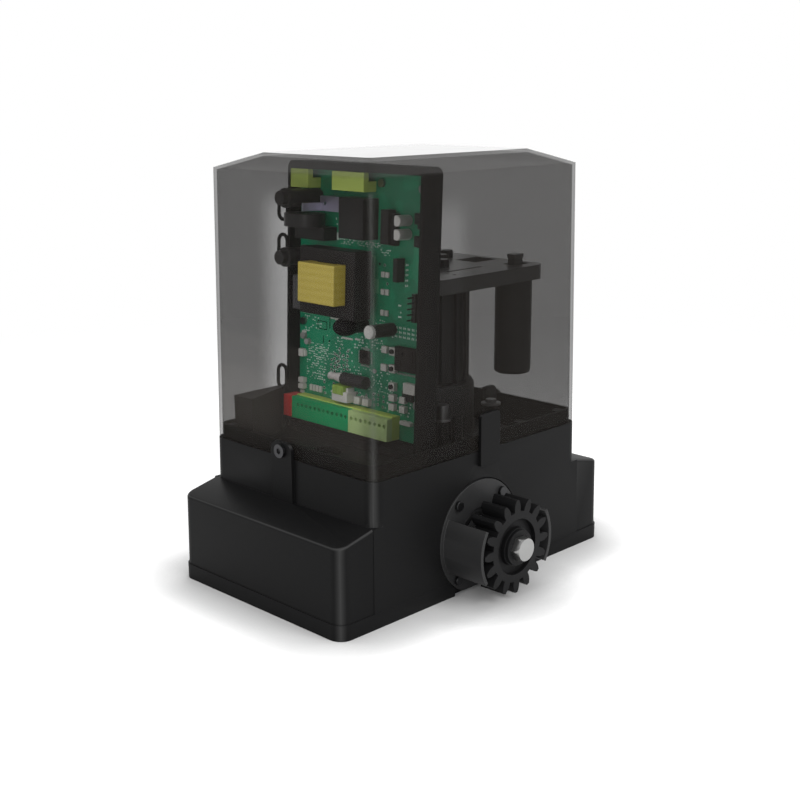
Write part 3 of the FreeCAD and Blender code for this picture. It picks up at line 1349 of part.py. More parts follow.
small_places = [(-4.5, 2, 27.5, 33), (-14, -7.5, 27.5, 33), (-41, -35.5, 36, 41), (-52, -46.5, 36, 41),
                (-41, -35.5, 29, 34), (-52, -46.5, 29, 34), (-62, -50, 44, 52), (61, 66, 55, 61),
                (60, 66, 29, 33), (60, 66, 34, 38)]
small_blocks = [component(4, *place_of) for place_of in small_places]
node("small_connectors", group(plug_in, *small_blocks), BOARD)

# Lower terminal row: a red mains block, a pale header and two plugs with wire holes.
terminal_reach = size("terminal_reach", 13.5)
terminal_foot = size("terminal_foot", 7.5)
plug_back = size("plug_back", 8)
green_left = size("green_left", 62.4)
green_right = size("green_right", -2.6)
row_right = size("row_right", -44)
wire_pitch = size("wire_pitch", 5)
mains = component(terminal_reach, green_left, green_left + 10, terminal_foot, terminal_top - 1)
node("mains_terminal", mains, BOARD)
node("terminal_header", component(plug_back, row_right, green_left, terminal_foot, terminal_top), BOARD)
for label, start, end in (("green_plug", green_right, green_left), ("lime_plug", row_right, green_right)):
    plug = component(terminal_reach, start, end, terminal_foot, terminal_top - 1, plug_back)
    holes = [can(terminal_reach + 1, start + wire_pitch * (i + 0.6), terminal_top - 7, 1.5, terminal_reach - 3)
             for i in range(int((end - start - 1).value / wire_pitch.value))]
    node(label, cut(plug, *holes), BOARD)

# Three push buttons: a square body each and a round plunger that travels into it.
button_y = size("button_y", -37.6)
button_heights = [("upper", 73.2), ("middle", 60.2), ("lower", 46.8)]
plunger_radius = size("plunger_radius", 1.75)
plunger_play = size("plunger_play", 0.08)
button_bodies = []
for name, z in button_heights:
    base = component(3.5, button_y - 3, button_y + 3, z - 3, z + 3)
    button_bodies.append(cut(base, can(4, button_y, z, plunger_radius + plunger_play, 1)))
node("button_bodies", group(*button_bodies), BOARD)
for name, z in button_heights:
    node("push_button_" + name, group(can(5, button_y, z, plunger_radius, 1.4)), BOARD)

# Check every object and every finished sub-part, then write the files.
doc.recompute()
for thing in doc.Objects:
    if "Invalid" in thing.State or "Error" in thing.State:
        raise RuntimeError("failed: " + thing.Name + " " + str(thing.State))
os.makedirs("parts", exist_ok=True)
for thing in nodes:
    shape = thing.Shape
    if shape.isNull() or not shape.isValid():
        raise RuntimeError("bad shape: " + thing.Label)
for thing in nodes:
    thing.Shape.exportStep("parts/" + thing.Label + ".step")
    print("%-24s solids %d volume %.0f" % (thing.Label, len(thing.Shape.Solids), thing.Shape.Volume))
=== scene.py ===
import json
import math
import random

import bmesh
import bpy
from mathutils import Matrix, Vector


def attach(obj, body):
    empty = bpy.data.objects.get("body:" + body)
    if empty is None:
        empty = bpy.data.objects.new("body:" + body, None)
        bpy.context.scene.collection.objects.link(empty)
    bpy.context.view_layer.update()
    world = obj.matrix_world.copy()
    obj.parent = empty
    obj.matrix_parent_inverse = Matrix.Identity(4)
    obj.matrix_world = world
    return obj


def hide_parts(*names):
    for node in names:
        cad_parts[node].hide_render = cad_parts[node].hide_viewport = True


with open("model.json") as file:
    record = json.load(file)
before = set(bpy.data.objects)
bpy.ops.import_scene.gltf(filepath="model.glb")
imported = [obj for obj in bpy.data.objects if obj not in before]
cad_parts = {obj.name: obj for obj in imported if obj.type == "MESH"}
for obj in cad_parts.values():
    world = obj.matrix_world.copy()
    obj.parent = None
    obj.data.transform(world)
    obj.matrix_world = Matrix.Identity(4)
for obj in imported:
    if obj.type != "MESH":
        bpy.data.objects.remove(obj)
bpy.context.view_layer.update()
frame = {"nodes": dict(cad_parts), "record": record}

# Camera: the photograph's own viewpoint, standing off the left front corner and looking
# slightly down, with a lens about as long as the object is far away.
eye = Vector((-0.6795, -0.6706, 0.3702))
yaw, pitch, roll = math.radians(45.418), math.radians(14.156), math.radians(-0.254)
ahead = Vector((math.sin(yaw) * math.cos(pitch), math.cos(yaw) * math.cos(pitch), -math.sin(pitch)))
level = Vector((math.cos(yaw), -math.sin(yaw), 0))
upright = level.cross(ahead)
right = level * math.cos(roll) + upright * math.sin(roll)
up = upright * math.cos(roll) - level * math.sin(roll)
picture_width, focal_length = 800, 1249.19   # both in pixels of the photograph
sensor_width = 36
lens = bpy.data.cameras.new("camera")
lens.sensor_width = sensor_width
lens.lens = focal_length / picture_width * sensor_width
lens.clip_start = 0.01
lens.clip_end = 50
camera = bpy.data.objects.new("camera", lens)
camera.matrix_world = Matrix((
    (right.x, up.x, -ahead.x, eye.x), (right.y, up.y, -ahead.y, eye.y),
    (right.z, up.z, -ahead.z, eye.z), (0, 0, 0, 1)))
bpy.context.scene.collection.objects.link(camera)
bpy.context.scene.camera = camera
bpy.context.scene.view_settings.view_transform = "Standard"


# Studio: a pale seamless floor, a white surround and soft lamps, one of them low behind
# the object so that the flat top of its cover catches a bright reflection; a painted
# reflection in the cover's colour adds to it.
class Value:
    """A shader socket that can be used in sums."""

    def __init__(self, tree, socket):
        self.tree = tree
        self.socket = socket

    def sum(self, operation, first, second):
        node = self.tree.nodes.new("ShaderNodeMath")
        node.operation = operation
        for entry, value in zip(node.inputs, (first, second)):
            if isinstance(value, Value):
                self.tree.links.new(value.socket, entry)
            else:
                entry.default_value = value
        return Value(self.tree, node.outputs[0])

    def __add__(self, other):
        return self.sum("ADD", self, other)

    def __radd__(self, other):
        return self.sum("ADD", other, self)

    def __sub__(self, other):
        return self.sum("SUBTRACT", self, other)

    def __rsub__(self, other):
        return self.sum("SUBTRACT", other, self)

    def __mul__(self, other):
        return self.sum("MULTIPLY", self, other)

    def __rmul__(self, other):
        return self.sum("MULTIPLY", other, self)

    def __gt__(self, other):
        return self.sum("GREATER_THAN", self, other)

    def __lt__(self, other):
        return self.sum("LESS_THAN", self, other)

    def __abs__(self):
        return self.sum("ABSOLUTE", self, 0)

    def least(self, other):
        return self.sum("MINIMUM", self, other)

    def most(self, other):
        return self.sum("MAXIMUM", self, other)


class Finish:
    """A material that is built up node by node around one Principled shader."""

    def __init__(self, name, **constants):
        self.material = bpy.data.materials.new(name)
        self.material.use_nodes = True
        self.tree = self.material.node_tree
        self.shader = self.tree.nodes["Principled BSDF"]
        for label, value in constants.items():
            self.put(self.shader, label.replace("_", " "), value)

    def put(self, node, label, value):
        socket = node.inputs[label]
        if isinstance(value, Value):
            self.tree.links.new(value.socket, socket)
        elif isinstance(value, tuple) and len(value) < len(socket.default_value):
            socket.default_value = (*value, 1)
        else:
            socket.default_value = value

    def node(self, kind, settings=(), output=0, **sockets):
        """Add a node, set it up, then feed its sockets; a name such as n7 means socket 7."""
        node = self.tree.nodes.new("ShaderNode" + kind)
        for name, value in dict(settings).items():
            setattr(node, name, value)
        for label, value in sockets.items():
            numbered = label[0] == "n" and label[1:].isdigit()
            self.put(node, int(label[1:]) if numbered else label.replace("_", " "), value)
        return Value(self.tree, node.outputs[output])

    def set(self, **sockets):
        for label, value in sockets.items():
            self.put(self.shader, label.replace("_", " "), value)
        return self.material

    def where(self, stretch=(1, 1, 1)):
        """The place on the object, in metres, stretched to suit a pattern."""
        return self.node("Mapping", Vector=self.node("TexCoord", output=3), Scale=stretch)

    def axes(self, vector):
        """The three parts of a vector."""
        parts = self.tree.nodes.new("ShaderNodeSeparateXYZ")
        self.tree.links.new(vector.socket, parts.inputs[0])
        return tuple(Value(self.tree, socket) for socket in parts.outputs)

    def noise(self, scale, detail=2.0, stretch=(1, 1, 1), rough=0.5):
        return self.node("TexNoise", Vector=self.where(stretch), Scale=scale, Detail=detail,
                         Roughness=rough)

    def ramp(self, value, low, high):
        """From 0 at low to 1 at high, eased at both ends."""
        return self.node("MapRange", {"interpolation_type": "SMOOTHSTEP"}, Value=value,
                         n1=low, n2=high)

    def blend(self, amount, first, second):
        """A colour between two, each written or worked out, by an amount from 0 to 1."""
        first, second = (c if isinstance(c, Value) else (*c, 1) for c in (first, second))
        return self.node("Mix", {"data_type": "RGBA"}, output=2, n0=amount, n6=first, n7=second)

    def relief(self, height, depth, strength=1.0):
        return self.node("Bump", Height=height, Distance=depth, Strength=strength)


def link(piece):
    bpy.context.scene.collection.objects.link(piece)
    return piece


def piece_from(bm, name, finish, smooth=35):
    """Turn a bmesh into an object with one finish and smooth shading below an angle."""
    mesh = bpy.data.meshes.new(name)
    bm.to_mesh(mesh)
    bm.free()
    mesh.materials.append(finish)
    for face in mesh.polygons:
        face.use_smooth = True
    mesh.set_sharp_from_angle(angle=math.radians(smooth))
    return link(bpy.data.objects.new(name, mesh))


floor_finish = Finish("pale_floor", Roughness=0.75, Specular_IOR_Level=0.0)
seen = floor_finish.node("LightPath", output=0).most(floor_finish.node("LightPath", output=3))
distance = floor_finish.node("VectorMath", {"operation": "LENGTH"}, output=1,
                             n0=floor_finish.where())
faraway = floor_finish.ramp(distance, 0.35, 1.1)
shadow_reach, shadow_lift, floor_reach = 0.050, 1.22, 14
dark, white = (0, 0, 0), (1, 1, 1)
# Near the object the floor's glow is darkened by ambient occlusion: a painted contact shadow.
nook = floor_finish.node("AmbientOcclusion", {"samples": 8}, output=1, Distance=shadow_reach)
open_sky = nook * nook
shade = open_sky * open_sky * open_sky * nook * shadow_lift
glow = floor_finish.blend(shade, dark, floor_finish.blend(faraway, (0.50, 0.50, 0.50), white))
floor_finish.set(Base_Color=floor_finish.blend(faraway * seen, (0.64, 0.64, 0.64), dark),
                 Emission_Color=floor_finish.blend(seen, dark, glow), Emission_Strength=1.0)
bm = bmesh.new()
bmesh.ops.create_grid(bm, x_segments=1, y_segments=1, size=floor_reach)
floor = piece_from(bm, "floor", floor_finish.material)

world = bpy.data.worlds.new("surround")
bpy.context.scene.world = world
world.use_nodes = True
tree = world.node_tree
sky = tree.nodes["Background"]
paths = tree.nodes.new("ShaderNodeLightPath")
direct = Value(tree, paths.outputs["Is Camera Ray"])
mirrored = Value(tree, paths.outputs["Is Glossy Ray"])
through = Value(tree, paths.outputs["Is Transmission Ray"])
surround_level = 0.62
strength = surround_level + direct.most(mirrored).most(through) * (1 - surround_level)
tree.links.new(strength.socket, sky.inputs["Strength"])
sky.inputs["Color"].default_value = (1, 1, 1, 1)


def lamp(name, place, aim, width, height, power, glossy=True):
    """A soft rectangular lamp that the camera doesn't see."""
    data = bpy.data.lights.new(name, "AREA")
    data.shape = "RECTANGLE"
    data.size, data.size_y = width, height
    data.energy = power
    thing = bpy.data.objects.new(name, data)
    place = Vector(place)
    thing.location = place
    thing.rotation_euler = (Vector(aim) - place).to_track_quat("-Z", "Y").to_euler()
    thing.visible_camera = False
    thing.visible_glossy = glossy
    thing.visible_transmission = False
    return link(thing)


lamp("front_softbox", (0.3, -1.9, 1.5), (0, 0, 0.12), 1.2, 1.2, 25)
lamp("corner_softbox", (-1.25, -1.35, 0.62), (0, 0, 0.2), 0.15, 0.9, 9)
lamp("left_softbox", (-1.9, 0.1, 1.3), (0, 0, 0.15), 1.2, 1.2, 3, glossy=False)
lamp("overhead_softbox", (0.1, 0.2, 2.2), (0, 0, 0), 1.6, 1.6, 16, glossy=False)
lamp("glare_softbox", (1.5, 1.5, 0.78), (0, 0, 0.30), 1.6, 0.45, 3)
lamp("board_lamp", (-0.1085, 0.0, 0.215), (-0.05, 0.0, 0.208), 0.16, 0.19, 0.17, glossy=False)


# Housing tub: one injection-moulded tub in near-black plastic with a fine spark-eroded
# grain, drafted walls and skirts, and a rolled edge wherever two walls meet.
def corner_of(finish, start=0.06):
    """From 0 on a flat face to about 1 in the middle of a rounded corner between two faces."""
    first, second, third = (abs(part) for part in finish.axes(finish.node("TexCoord", output=1)))
    steepness = 4.2
    return ((1 - first.most(second).most(third) - start) * steepness).most(0).least(1)


def moulded(name, tone, roughness, grain=0.00002, size=900, gloss=0.09, painted_corner_highlight=0.0):
    """Moulded plastic: a fine eroded grain, slow gloss changes and rounded corners painted paler as
    a highlight.
    """
    finish = Finish(name, IOR=1.46, Specular_IOR_Level=gloss)
    cloud = finish.noise(14, 4)
    pores = finish.noise(size, 3, rough=0.6)
    colour = finish.blend(cloud, tuple(c * 0.85 for c in tone), tuple(c * 1.2 for c in tone))
    # A painted highlight: rounded corners are blended towards a paler tone.
    if painted_corner_highlight:
        colour = finish.blend(corner_of(finish) * (0.7 + cloud * 0.5), colour, (painted_corner_highlight,) * 3)
    return finish.set(Base_Color=colour, Roughness=roughness - 0.06 + cloud * 0.12,
                      Normal=finish.relief(pores, grain, 0.6))


def dress(node, finish):
    """Give a carried-over piece its finish."""
    mesh = frame["nodes"][node].data
    mesh.materials.clear()
    mesh.materials.append(finish)


def body_of(node):
    bodies = frame["record"]["behaviour"]["bodies"]
    return [name for name, held in bodies.items() if node in held][0]


def rolled(node, finish, width, segments=2, angle=32, trim=None):
    """A copy of a carried-over piece whose sharp edges are rolled as a moulding's are."""
    bm = bmesh.new()
    bm.from_mesh(frame["nodes"][node].data)
    bmesh.ops.remove_doubles(bm, verts=bm.verts, dist=0.00002)
    bmesh.ops.dissolve_limit(bm, angle_limit=math.radians(1), verts=bm.verts, edges=bm.edges,
                             delimit={"NORMAL"})
    if trim:
        trim(bm)
    piece = piece_from(bm, node + "_rolled", finish, 40)
    soften = piece.modifiers.new("rolled edges", "BEVEL")
    soften.width = width
    soften.segments = segments
    soften.limit_method = "ANGLE"
    soften.angle_limit = math.radians(angle)
    soften.use_clamp_overlap = True
    soften.harden_normals = True
    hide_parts(node)
    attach(piece, body_of(node))
    return piece


# The tub's rounded corners carry a painted highlight.
tub_black = moulded("tub_black", (0.0066, 0.0066, 0.0068), 0.46, gloss=0.08, painted_corner_highlight=0.040)
rolled("housing_tub", tub_black, 0.0009)

# Cover: a clear smoke-tinted shell, moulded a little paler in front of the board and beside its
# tray, with a painted highlight on its rounded corners. It drops over the rim and two screws hold
# it.
smoke = Finish("smoke_plastic", IOR=1.5, Specular_IOR_Level=0.02)
along, across, height = smoke.axes(smoke.node("TexCoord", output=3))
board_wall = along < -0.100
side_wall = abs(across) > 0.080
before_board = smoke.ramp(across, -0.086, -0.066) * (1 - smoke.ramp(across, 0.000, 0.034))
beside_tray = 1 - smoke.ramp(abs(along + 0.041), 0.010, 0.033)
below_crown = 1 - smoke.ramp(height, 0.276, 0.302)
pale = (board_wall * before_board).most(side_wall * beside_tray) * below_crown
flat_top = height > 0.3205
edge_on = smoke.node("LayerWeight", output=1, Blend=0.5)
square = edge_on * edge_on
# The flat top seen edge-on is painted pale and made denser: a painted reflection of the studio.
painted_top_glint = square * square * square * 1.25 * flat_top
# Rounded corners of the shell are painted paler and denser: a painted highlight of the glare band
# on its front corner.
painted_corner_sheen = corner_of(smoke) * (1 - flat_top) * (1 - smoke.ramp(height, 0.300, 0.304))
flow = smoke.noise(22, 1)
wall_density, pale_share, most_density = 0.425, 0.155, 0.96
density = (wall_density - pale * pale_share + flow * 0.01 + painted_corner_sheen * 0.06 + square * square * 0.25
           + painted_top_glint * 0.9)
smoke_tint_and_sheen = smoke.blend(painted_corner_sheen, (0.0200, 0.0180, 0.0160), (0.070, 0.070, 0.067))
smoke.set(Base_Color=smoke.blend(painted_top_glint.least(1), smoke_tint_and_sheen, (0.60, 0.60, 0.60)),
          Roughness=0.10 + flow * 0.05, Alpha=density.least(most_density))
dress("cover", smoke.material)


# Cover screws: two pan-head machine screws with a hexagon socket, turned from steel and
# plated grey. They hold the cover's tongues to the sides of the tub.
def turned_steel(name, tone, roughness, scratch=0.00002, stretch=(1, 1, 1)):
    """Machined or plated metal with fine tool marks and uneven polish."""
    finish = Finish(name, Metallic=1.0)
    marks = finish.noise(1600, 3, stretch)
    bloom = finish.noise(60, 3)
    colour = finish.blend(bloom, tuple(c * 0.86 for c in tone), tone)
    return finish.set(Base_Color=colour, Roughness=roughness - 0.05 + marks * 0.08 + bloom * 0.06,
                      Normal=finish.relief(marks, scratch, 0.5))


grey_screw = turned_steel("grey_screw", (0.065, 0.065, 0.068), 0.42)
rolled("cover_screws", grey_screw, 0.0004)

# Output drive: a hobbed pinion in blackened steel on a keyed shaft, clamped by a bright
# zinc-plated hexagon bolt over a black washer.
black_steel = Finish("blackened_steel", Metallic=0.3, Specular_IOR_Level=0.14)
bloom = black_steel.noise(45, 4)
marks = black_steel.noise(700, 2, (1, 0.12, 1))
blackening = black_steel.blend(bloom, (0.0065, 0.0065, 0.0068), (0.0110, 0.0110, 0.0115))
black_steel.set(Base_Color=blackening, Roughness=0.50 + bloom * 0.12,
                Normal=black_steel.relief(marks, 0.00003, 0.5))
rolled("output_pinion", black_steel.material, 0.0005)
rolled("pinion_washer", black_steel.material, 0.0004)
zinc = turned_steel("zinc_plate", (0.36, 0.36, 0.355), 0.30)
rolled("pinion_bolt", zinc, 0.0006)
ground_steel = turned_steel("ground_steel", (0.48, 0.48, 0.49), 0.26, stretch=(1, 8, 8))
for node in ("output_shaft", "shaft_keys", "pinion_spacer", "worm_shaft", "output_bearings",
             "rotor_bearings"):
    dress(node, ground_steel)

# Worm wheel: a cast bronze blank, hobbed to suit the worm and keyed to the output shaft.
# It is yellow, with darker oil in its grain.
bronze = turned_steel("wheel_bronze", (0.62, 0.40, 0.17), 0.34)
dress("worm_wheel", bronze)

# Pinion guard: a black moulded collar with two curved shields that stand round the
# pinion. Four black screws hold its flange; the same kind holds case, plate and deck.
# The guard's rounded corners carry a painted highlight.
guard_black = moulded("guard_black", (0.026, 0.026, 0.0265), 0.40, gloss=0.16, painted_corner_highlight=0.05)
rolled("pinion_guard", guard_black, 0.0006)
black_screw = turned_steel("black_screw", (0.05, 0.05, 0.052), 0.40)
for node in ("guard_screws", "gearbox_screws", "plate_screws", "deck_screws"):
    rolled(node, black_screw, 0.0004)

# Shaft seal: a lip seal in nitrile rubber, slightly bloomed, pressed into the gearbox
# cover round the output shaft.
rubber = moulded("nitrile", (0.012, 0.012, 0.012), 0.62, size=500)
dress("shaft_seal", rubber)


# Gearbox castings and motor tube: aluminium with a sand-fine cast skin under satin black
# paint. The case is bolted to the tub's floor and carries the motor on top.
def painted_casting(name, tone):
    finish = Finish(name, IOR=1.5, Specular_IOR_Level=0.35)
    skin = finish.noise(420, 4, rough=0.7)
    cloud = finish.noise(18, 3)
    colour = finish.blend(cloud, tone, tuple(c * 1.35 for c in tone))
    return finish.set(Base_Color=colour, Roughness=0.42 + skin * 0.14,
                      Normal=finish.relief(skin, 0.00012, 0.7))


black_casting = painted_casting("black_casting", (0.014, 0.014, 0.0145))
for node in ("gearbox_case", "gearbox_front_cover", "motor_lower_shield"):
    rolled(node, black_casting, 0.0008)
rolled("motor_tube", black_casting, 0.0004)

# Motor insides: stacked and varnished laminations, enamelled copper end turns, and the
# steel tie rods that clamp the stack between its shields.
laminations = Finish("laminations", Metallic=0.7)
sheets = laminations.node("TexWave", {"bands_direction": "Z", "wave_profile": "SIN"},
                          Vector=laminations.where(), Scale=320)
laminations.set(Base_Color=laminations.blend(sheets, (0.05, 0.05, 0.055), (0.15, 0.15, 0.16)),
                Roughness=0.4 + sheets * 0.2, Normal=laminations.relief(sheets, 0.0001))
copper = Finish("enamelled_copper", Coat_Weight=0.4)
strands = copper.noise(700, 3, (1, 1, 0.2))
copper.set(Base_Color=copper.blend(strands, (0.20, 0.06, 0.02), (0.48, 0.19, 0.07)),
           Metallic=0.55, Roughness=0.35, Normal=copper.relief(strands, 0.0004))
for node in ("stator_core", "rotor_core"):
    dress(node, laminations.material)
dress("stator_windings", copper.material)
dress("motor_tie_rods", ground_steel)

# Top bracket plate: a shallow black moulding that clamps the motor and holds the run
# capacitor by a clip. Its flat upper side shows pale where it mirrors the studio.
plate_black = moulded("plate_black", (0.050, 0.050, 0.050), 0.30, gloss=0.4)
rolled("top_bracket_plate", plate_black, 0.0006)
dark_sleeve = moulded("dark_sleeve", (0.026, 0.026, 0.0265), 0.34)
rolled("run_capacitor", dark_sleeve, 0.0005)
for node in ("capacitor_clip", "cable_lug"):
    rolled(node, plate_black, 0.0005)
rolled("pillar_hardware", turned_steel("grey_plate", (0.30, 0.30, 0.30), 0.38), 0.0004)

# Electronics deck and board tray: satin black mouldings. The deck is screwed across the
# tub; its wall holds the tray that carries the board upright, leaning back a little.
tray_black = moulded("tray_black", (0.011, 0.011, 0.0115), 0.48)
board_place = Matrix.Translation((-0.0559, 0, 0.108)) @ Matrix.Rotation(math.radians(2.4), 4, "Y")
duct_taper, duct_setback = 0.0153, 0.0115


def slim_duct(bm):
    """The cable duct narrows towards the tray, to pass behind the mains terminal."""
    for corner in bm.verts:
        at_tray_end = -0.063 < corner.co.x < -0.058
        if at_tray_end and 0.0575 < corner.co.y < 0.0615:
            corner.co.y += duct_taper
        elif at_tray_end and corner.co.y > 0.0770 and corner.co.z > 0.1:
            corner.co.x += duct_setback


rolled("electronics_deck", tray_black, 0.0007, trim=slim_duct)
rolled("board_tray", tray_black, 0.0006)


# Duct foot: a short ribbed wall of the deck's moulding, which closes the duct's end behind
# the mains terminal.
def eased(bm, width, segments=2):
    """Round every edge a little."""
    bmesh.ops.bevel(bm, geom=list(bm.edges), offset=width, segments=segments, profile=0.5,
                    affect="EDGES", material=-1)


bm = bmesh.new()
for middle, size in (((-0.0435, 0.0780, 0.1195), (0.0175, 0.0016, 0.0340)),
                     ((-0.0435, 0.0800, 0.1033), (0.0175, 0.0056, 0.0016)),
                     ((-0.0435, 0.0795, 0.1120), (0.0016, 0.0030, 0.0170))):
    bmesh.ops.create_cube(bm, size=1,
                          matrix=Matrix.Translation(middle) @ Matrix.Diagonal((*size, 1)))
eased(bm, 0.0004)
duct_foot = piece_from(bm, "duct_foot", tray_black, 30)
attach(duct_foot, "gearmotor")

# Cable eyes: three long loops in the tray's own moulding, down its left edge, that the
# motor's wires are pushed through.
wire_radius, bend_radius, half_straight, loop_steps = 0.0014, 0.0050, 0.0042, 32
flat_to_side = Matrix.Rotation(math.radians(90), 4, "Y")
bm = bmesh.new()
for eye_height in (0.038, 0.141, 0.171):
    ring = bmesh.new()
    bmesh.ops.create_circle(ring, segments=10, radius=wire_radius, matrix=Matrix.Translation(
        (bend_radius, 0, 0)) @ Matrix.Rotation(math.radians(90), 4, "X"))
    bmesh.ops.spin(ring, geom=list(ring.verts) + list(ring.edges), cent=(0, 0, 0), axis=(0, 0, 1),
                   angle=math.tau, steps=loop_steps, use_merge=True)
    bmesh.ops.remove_doubles(ring, verts=ring.verts, dist=0.00001)
    bmesh.ops.rotate(ring, verts=ring.verts, cent=(0, 0, 0),
                     matrix=Matrix.Rotation(math.tau / loop_steps / 2, 3, "Z"))
    for corner in ring.verts:
        corner.co.x += math.copysign(half_straight, corner.co.x)
    bmesh.ops.transform(ring, verts=ring.verts, matrix=board_place @ Matrix.Translation(
        (-0.0008, 0.0760, eye_height)) @ flat_to_side)
    bmesh.ops.recalc_face_normals(ring, faces=ring.faces)
    held = bpy.data.meshes.new("eye")
    ring.to_mesh(held)
    ring.free()
    bm.from_mesh(held)
    bpy.data.meshes.remove(held)
eyes = piece_from(bm, "cable_eye_loops", tray_black, 60)
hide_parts("cable_eyes")
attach(eyes, "gearmotor")

# Circuit board: glass-epoxy laminate under green solder mask, with a copper ground plane
# that shows through slightly darker. Plated screws hold it to the tray.
mask = Finish("solder_mask", IOR=1.5, Coat_Weight=0.35, Coat_Roughness=0.15)
weave = mask.noise(1200, 2)
plane = mask.noise(38, 1) > 0.52
green = mask.blend(plane, (0.000, 0.235, 0.110), (0.000, 0.190, 0.090))
mask.set(Base_Color=green, Roughness=0.32 + weave * 0.1, Normal=mask.relief(weave, 0.00003, 0.5))
dress("circuit_board", mask.material)
dress("board_screws", zinc)

# Transformer: a varnished lamination stack whose bobbin is wound in yellow tape, soldered
# to the board by its pins.
core_black = moulded("core_black", (0.016, 0.015, 0.015), 0.36)
rolled("transformer_core", core_black, 0.0006)
tape = Finish("yellow_tape", IOR=1.45, Coat_Weight=0.2)
laps = tape.node("TexWave", {"bands_direction": "Z"}, Vector=tape.where(), Scale=60, Distortion=1.0)
tape.set(Base_Color=tape.blend(laps, (0.30, 0.236, 0.034), (0.33, 0.262, 0.044)),
         Roughness=0.42 + laps * 0.08, Normal=tape.relief(laps, 0.00008))
rolled("transformer_winding", tape.material, 0.0007)

# Power parts: relay, fuse holders, choke and coils in moulded black, soldered through the
# board. The fuse caps are slotted for a screwdriver.
part_black = moulded("part_black", (0.016, 0.0155, 0.0155), 0.30, grain=0.00001, gloss=0.3)
for node in ("power_relay", "fuse_holders", "choke_ring", "choke_base", "integrated_circuits",
             "pin_headers"):
    rolled(node, part_black, 0.0005)
part_grey = moulded("part_grey", (0.055, 0.055, 0.057), 0.45)
rolled("film_capacitor", part_grey, 0.0003)
tinned = turned_steel("tinned_tab", (0.62, 0.60, 0.72), 0.40)
dress("heat_sink_tab", tinned)
part_white = moulded("part_white", (0.50, 0.49, 0.46), 0.45)
rolled("small_connectors", part_white, 0.0003)
rolled("button_bodies", part_white, 0.0002)
for node in ("push_button_upper", "push_button_middle", "push_button_lower"):
    dress(node, part_black)

# Electrolytic cans: aluminium in a light grey sleeve with a dark stripe, and two larger
# black ones, all standing off the board on their wires.
can_sleeve = Finish("can_sleeve", IOR=1.45, Specular_IOR_Level=0.3)
out, side, rise = can_sleeve.axes(can_sleeve.where())
cloud = can_sleeve.noise(300, 2)
upper_pair = rise > 0.25
round_end = (out < -0.0634) * (side < -0.02)
stripe = (abs(side + 0.0448) < 0.0012) * upper_pair
light = (upper_pair * (1 - stripe)).most(round_end) * (0.82 + cloud * 0.3)
can_sleeve.set(Base_Color=can_sleeve.blend(light, (0.012, 0.012, 0.012), (0.50, 0.49, 0.47)),
               Roughness=0.34 + cloud * 0.1)
rolled("electrolytic_capacitors", can_sleeve.material, 0.0007)

# Antenna socket: a dark nylon block with a pale nylon cone for the aerial wire, soldered
# at the board's upper edge.
socket_finish = Finish("socket_nylon", IOR=1.46, Specular_IOR_Level=0.2)
cloud = socket_finish.noise(200, 2)
cone = (socket_finish.axes(socket_finish.where())[1] > 0.0125) * (0.8 + cloud * 0.3)
socket_finish.set(Base_Color=socket_finish.blend(cone, (0.030, 0.028, 0.030), (0.50, 0.47, 0.46)),
                  Roughness=0.40 + cloud * 0.1)
rolled("antenna_socket", socket_finish.material, 0.0004)

# Taped wrap: a bundle at the middle of the board, wound in overlapping laps of black
# cloth tape.
lap_depth = 0.10
bm = bmesh.new()
bmesh.ops.create_uvsphere(bm, u_segments=48, v_segments=30, radius=1)
for corner in bm.verts:
    lap = ((corner.co.y * 4.2 + corner.co.z * 0.9 + corner.co.x * 0.5) % 1.0) * lap_depth
    girth = 1 - lap_depth + lap
    corner.co = Vector((corner.co.x * girth, corner.co.y, corner.co.z * girth))
bmesh.ops.transform(bm, verts=bm.verts, matrix=board_place @ Matrix.Translation(
    (-0.006, -0.003, 0.0886)) @ Matrix.Diagonal((0.0125, 0.0075, 0.0072, 1)))
cloth_tape = moulded("cloth_tape", (0.010, 0.010, 0.0105), 0.5, grain=0.00006, size=400)
taped_wrap = piece_from(bm, "taped_wrap", cloth_tape)
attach(taped_wrap, "gearmotor")


# Ground strips: bare ground copper under thinner solder mask, a pale green frame round the
# transformer with wider stretches beside it. They are etched in the board's own copper.
board_face = 0.011


def block(bm, across, above, width, tall, reach, foot=board_face):
    """One block on the board, from y, z, width, height and how far it stands out, in mm."""
    middle = Matrix.Translation((foot - reach / 2000, across / 1000, above / 1000))
    size = Matrix.Diagonal((reach / 1000, width / 1000, tall / 1000, 1))
    bmesh.ops.create_cube(bm, size=1, matrix=board_place @ middle @ size)


def rides_on_board(piece):
    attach(piece, "gearmotor")
    return piece


def chips(name, finish, blocks, soften=0.0):
    """A group of blocks on the board, with their edges softened by a width in metres."""
    bm = bmesh.new()
    for measures in blocks:
        block(bm, *measures)
    if soften:
        eased(bm, soften, segments=1)
    return rides_on_board(piece_from(bm, name, finish, 30))


bare_ground = Finish("bare_ground", IOR=1.5, Coat_Weight=0.3, Coat_Roughness=0.15)
worn = bare_ground.noise(700, 2)
bare_ground.set(Base_Color=bare_ground.blend(worn, (0.07, 0.30, 0.16), (0.09, 0.36, 0.20)),
                Roughness=0.35 + worn * 0.1)
chips("ground_frame", bare_ground.material, [
    (9.8, 140.6, 46.8, 1.3, 0.12), (-14.2, 115.4, 1.5, 50.6, 0.12), (-16.4, 118.9, 5.0, 10.6, 0.14),
    (46, 141.6, 4, 1.2, 0.1), (59, 92, 12, 6, 0.1), (62, 140, 6, 3, 0.1)])

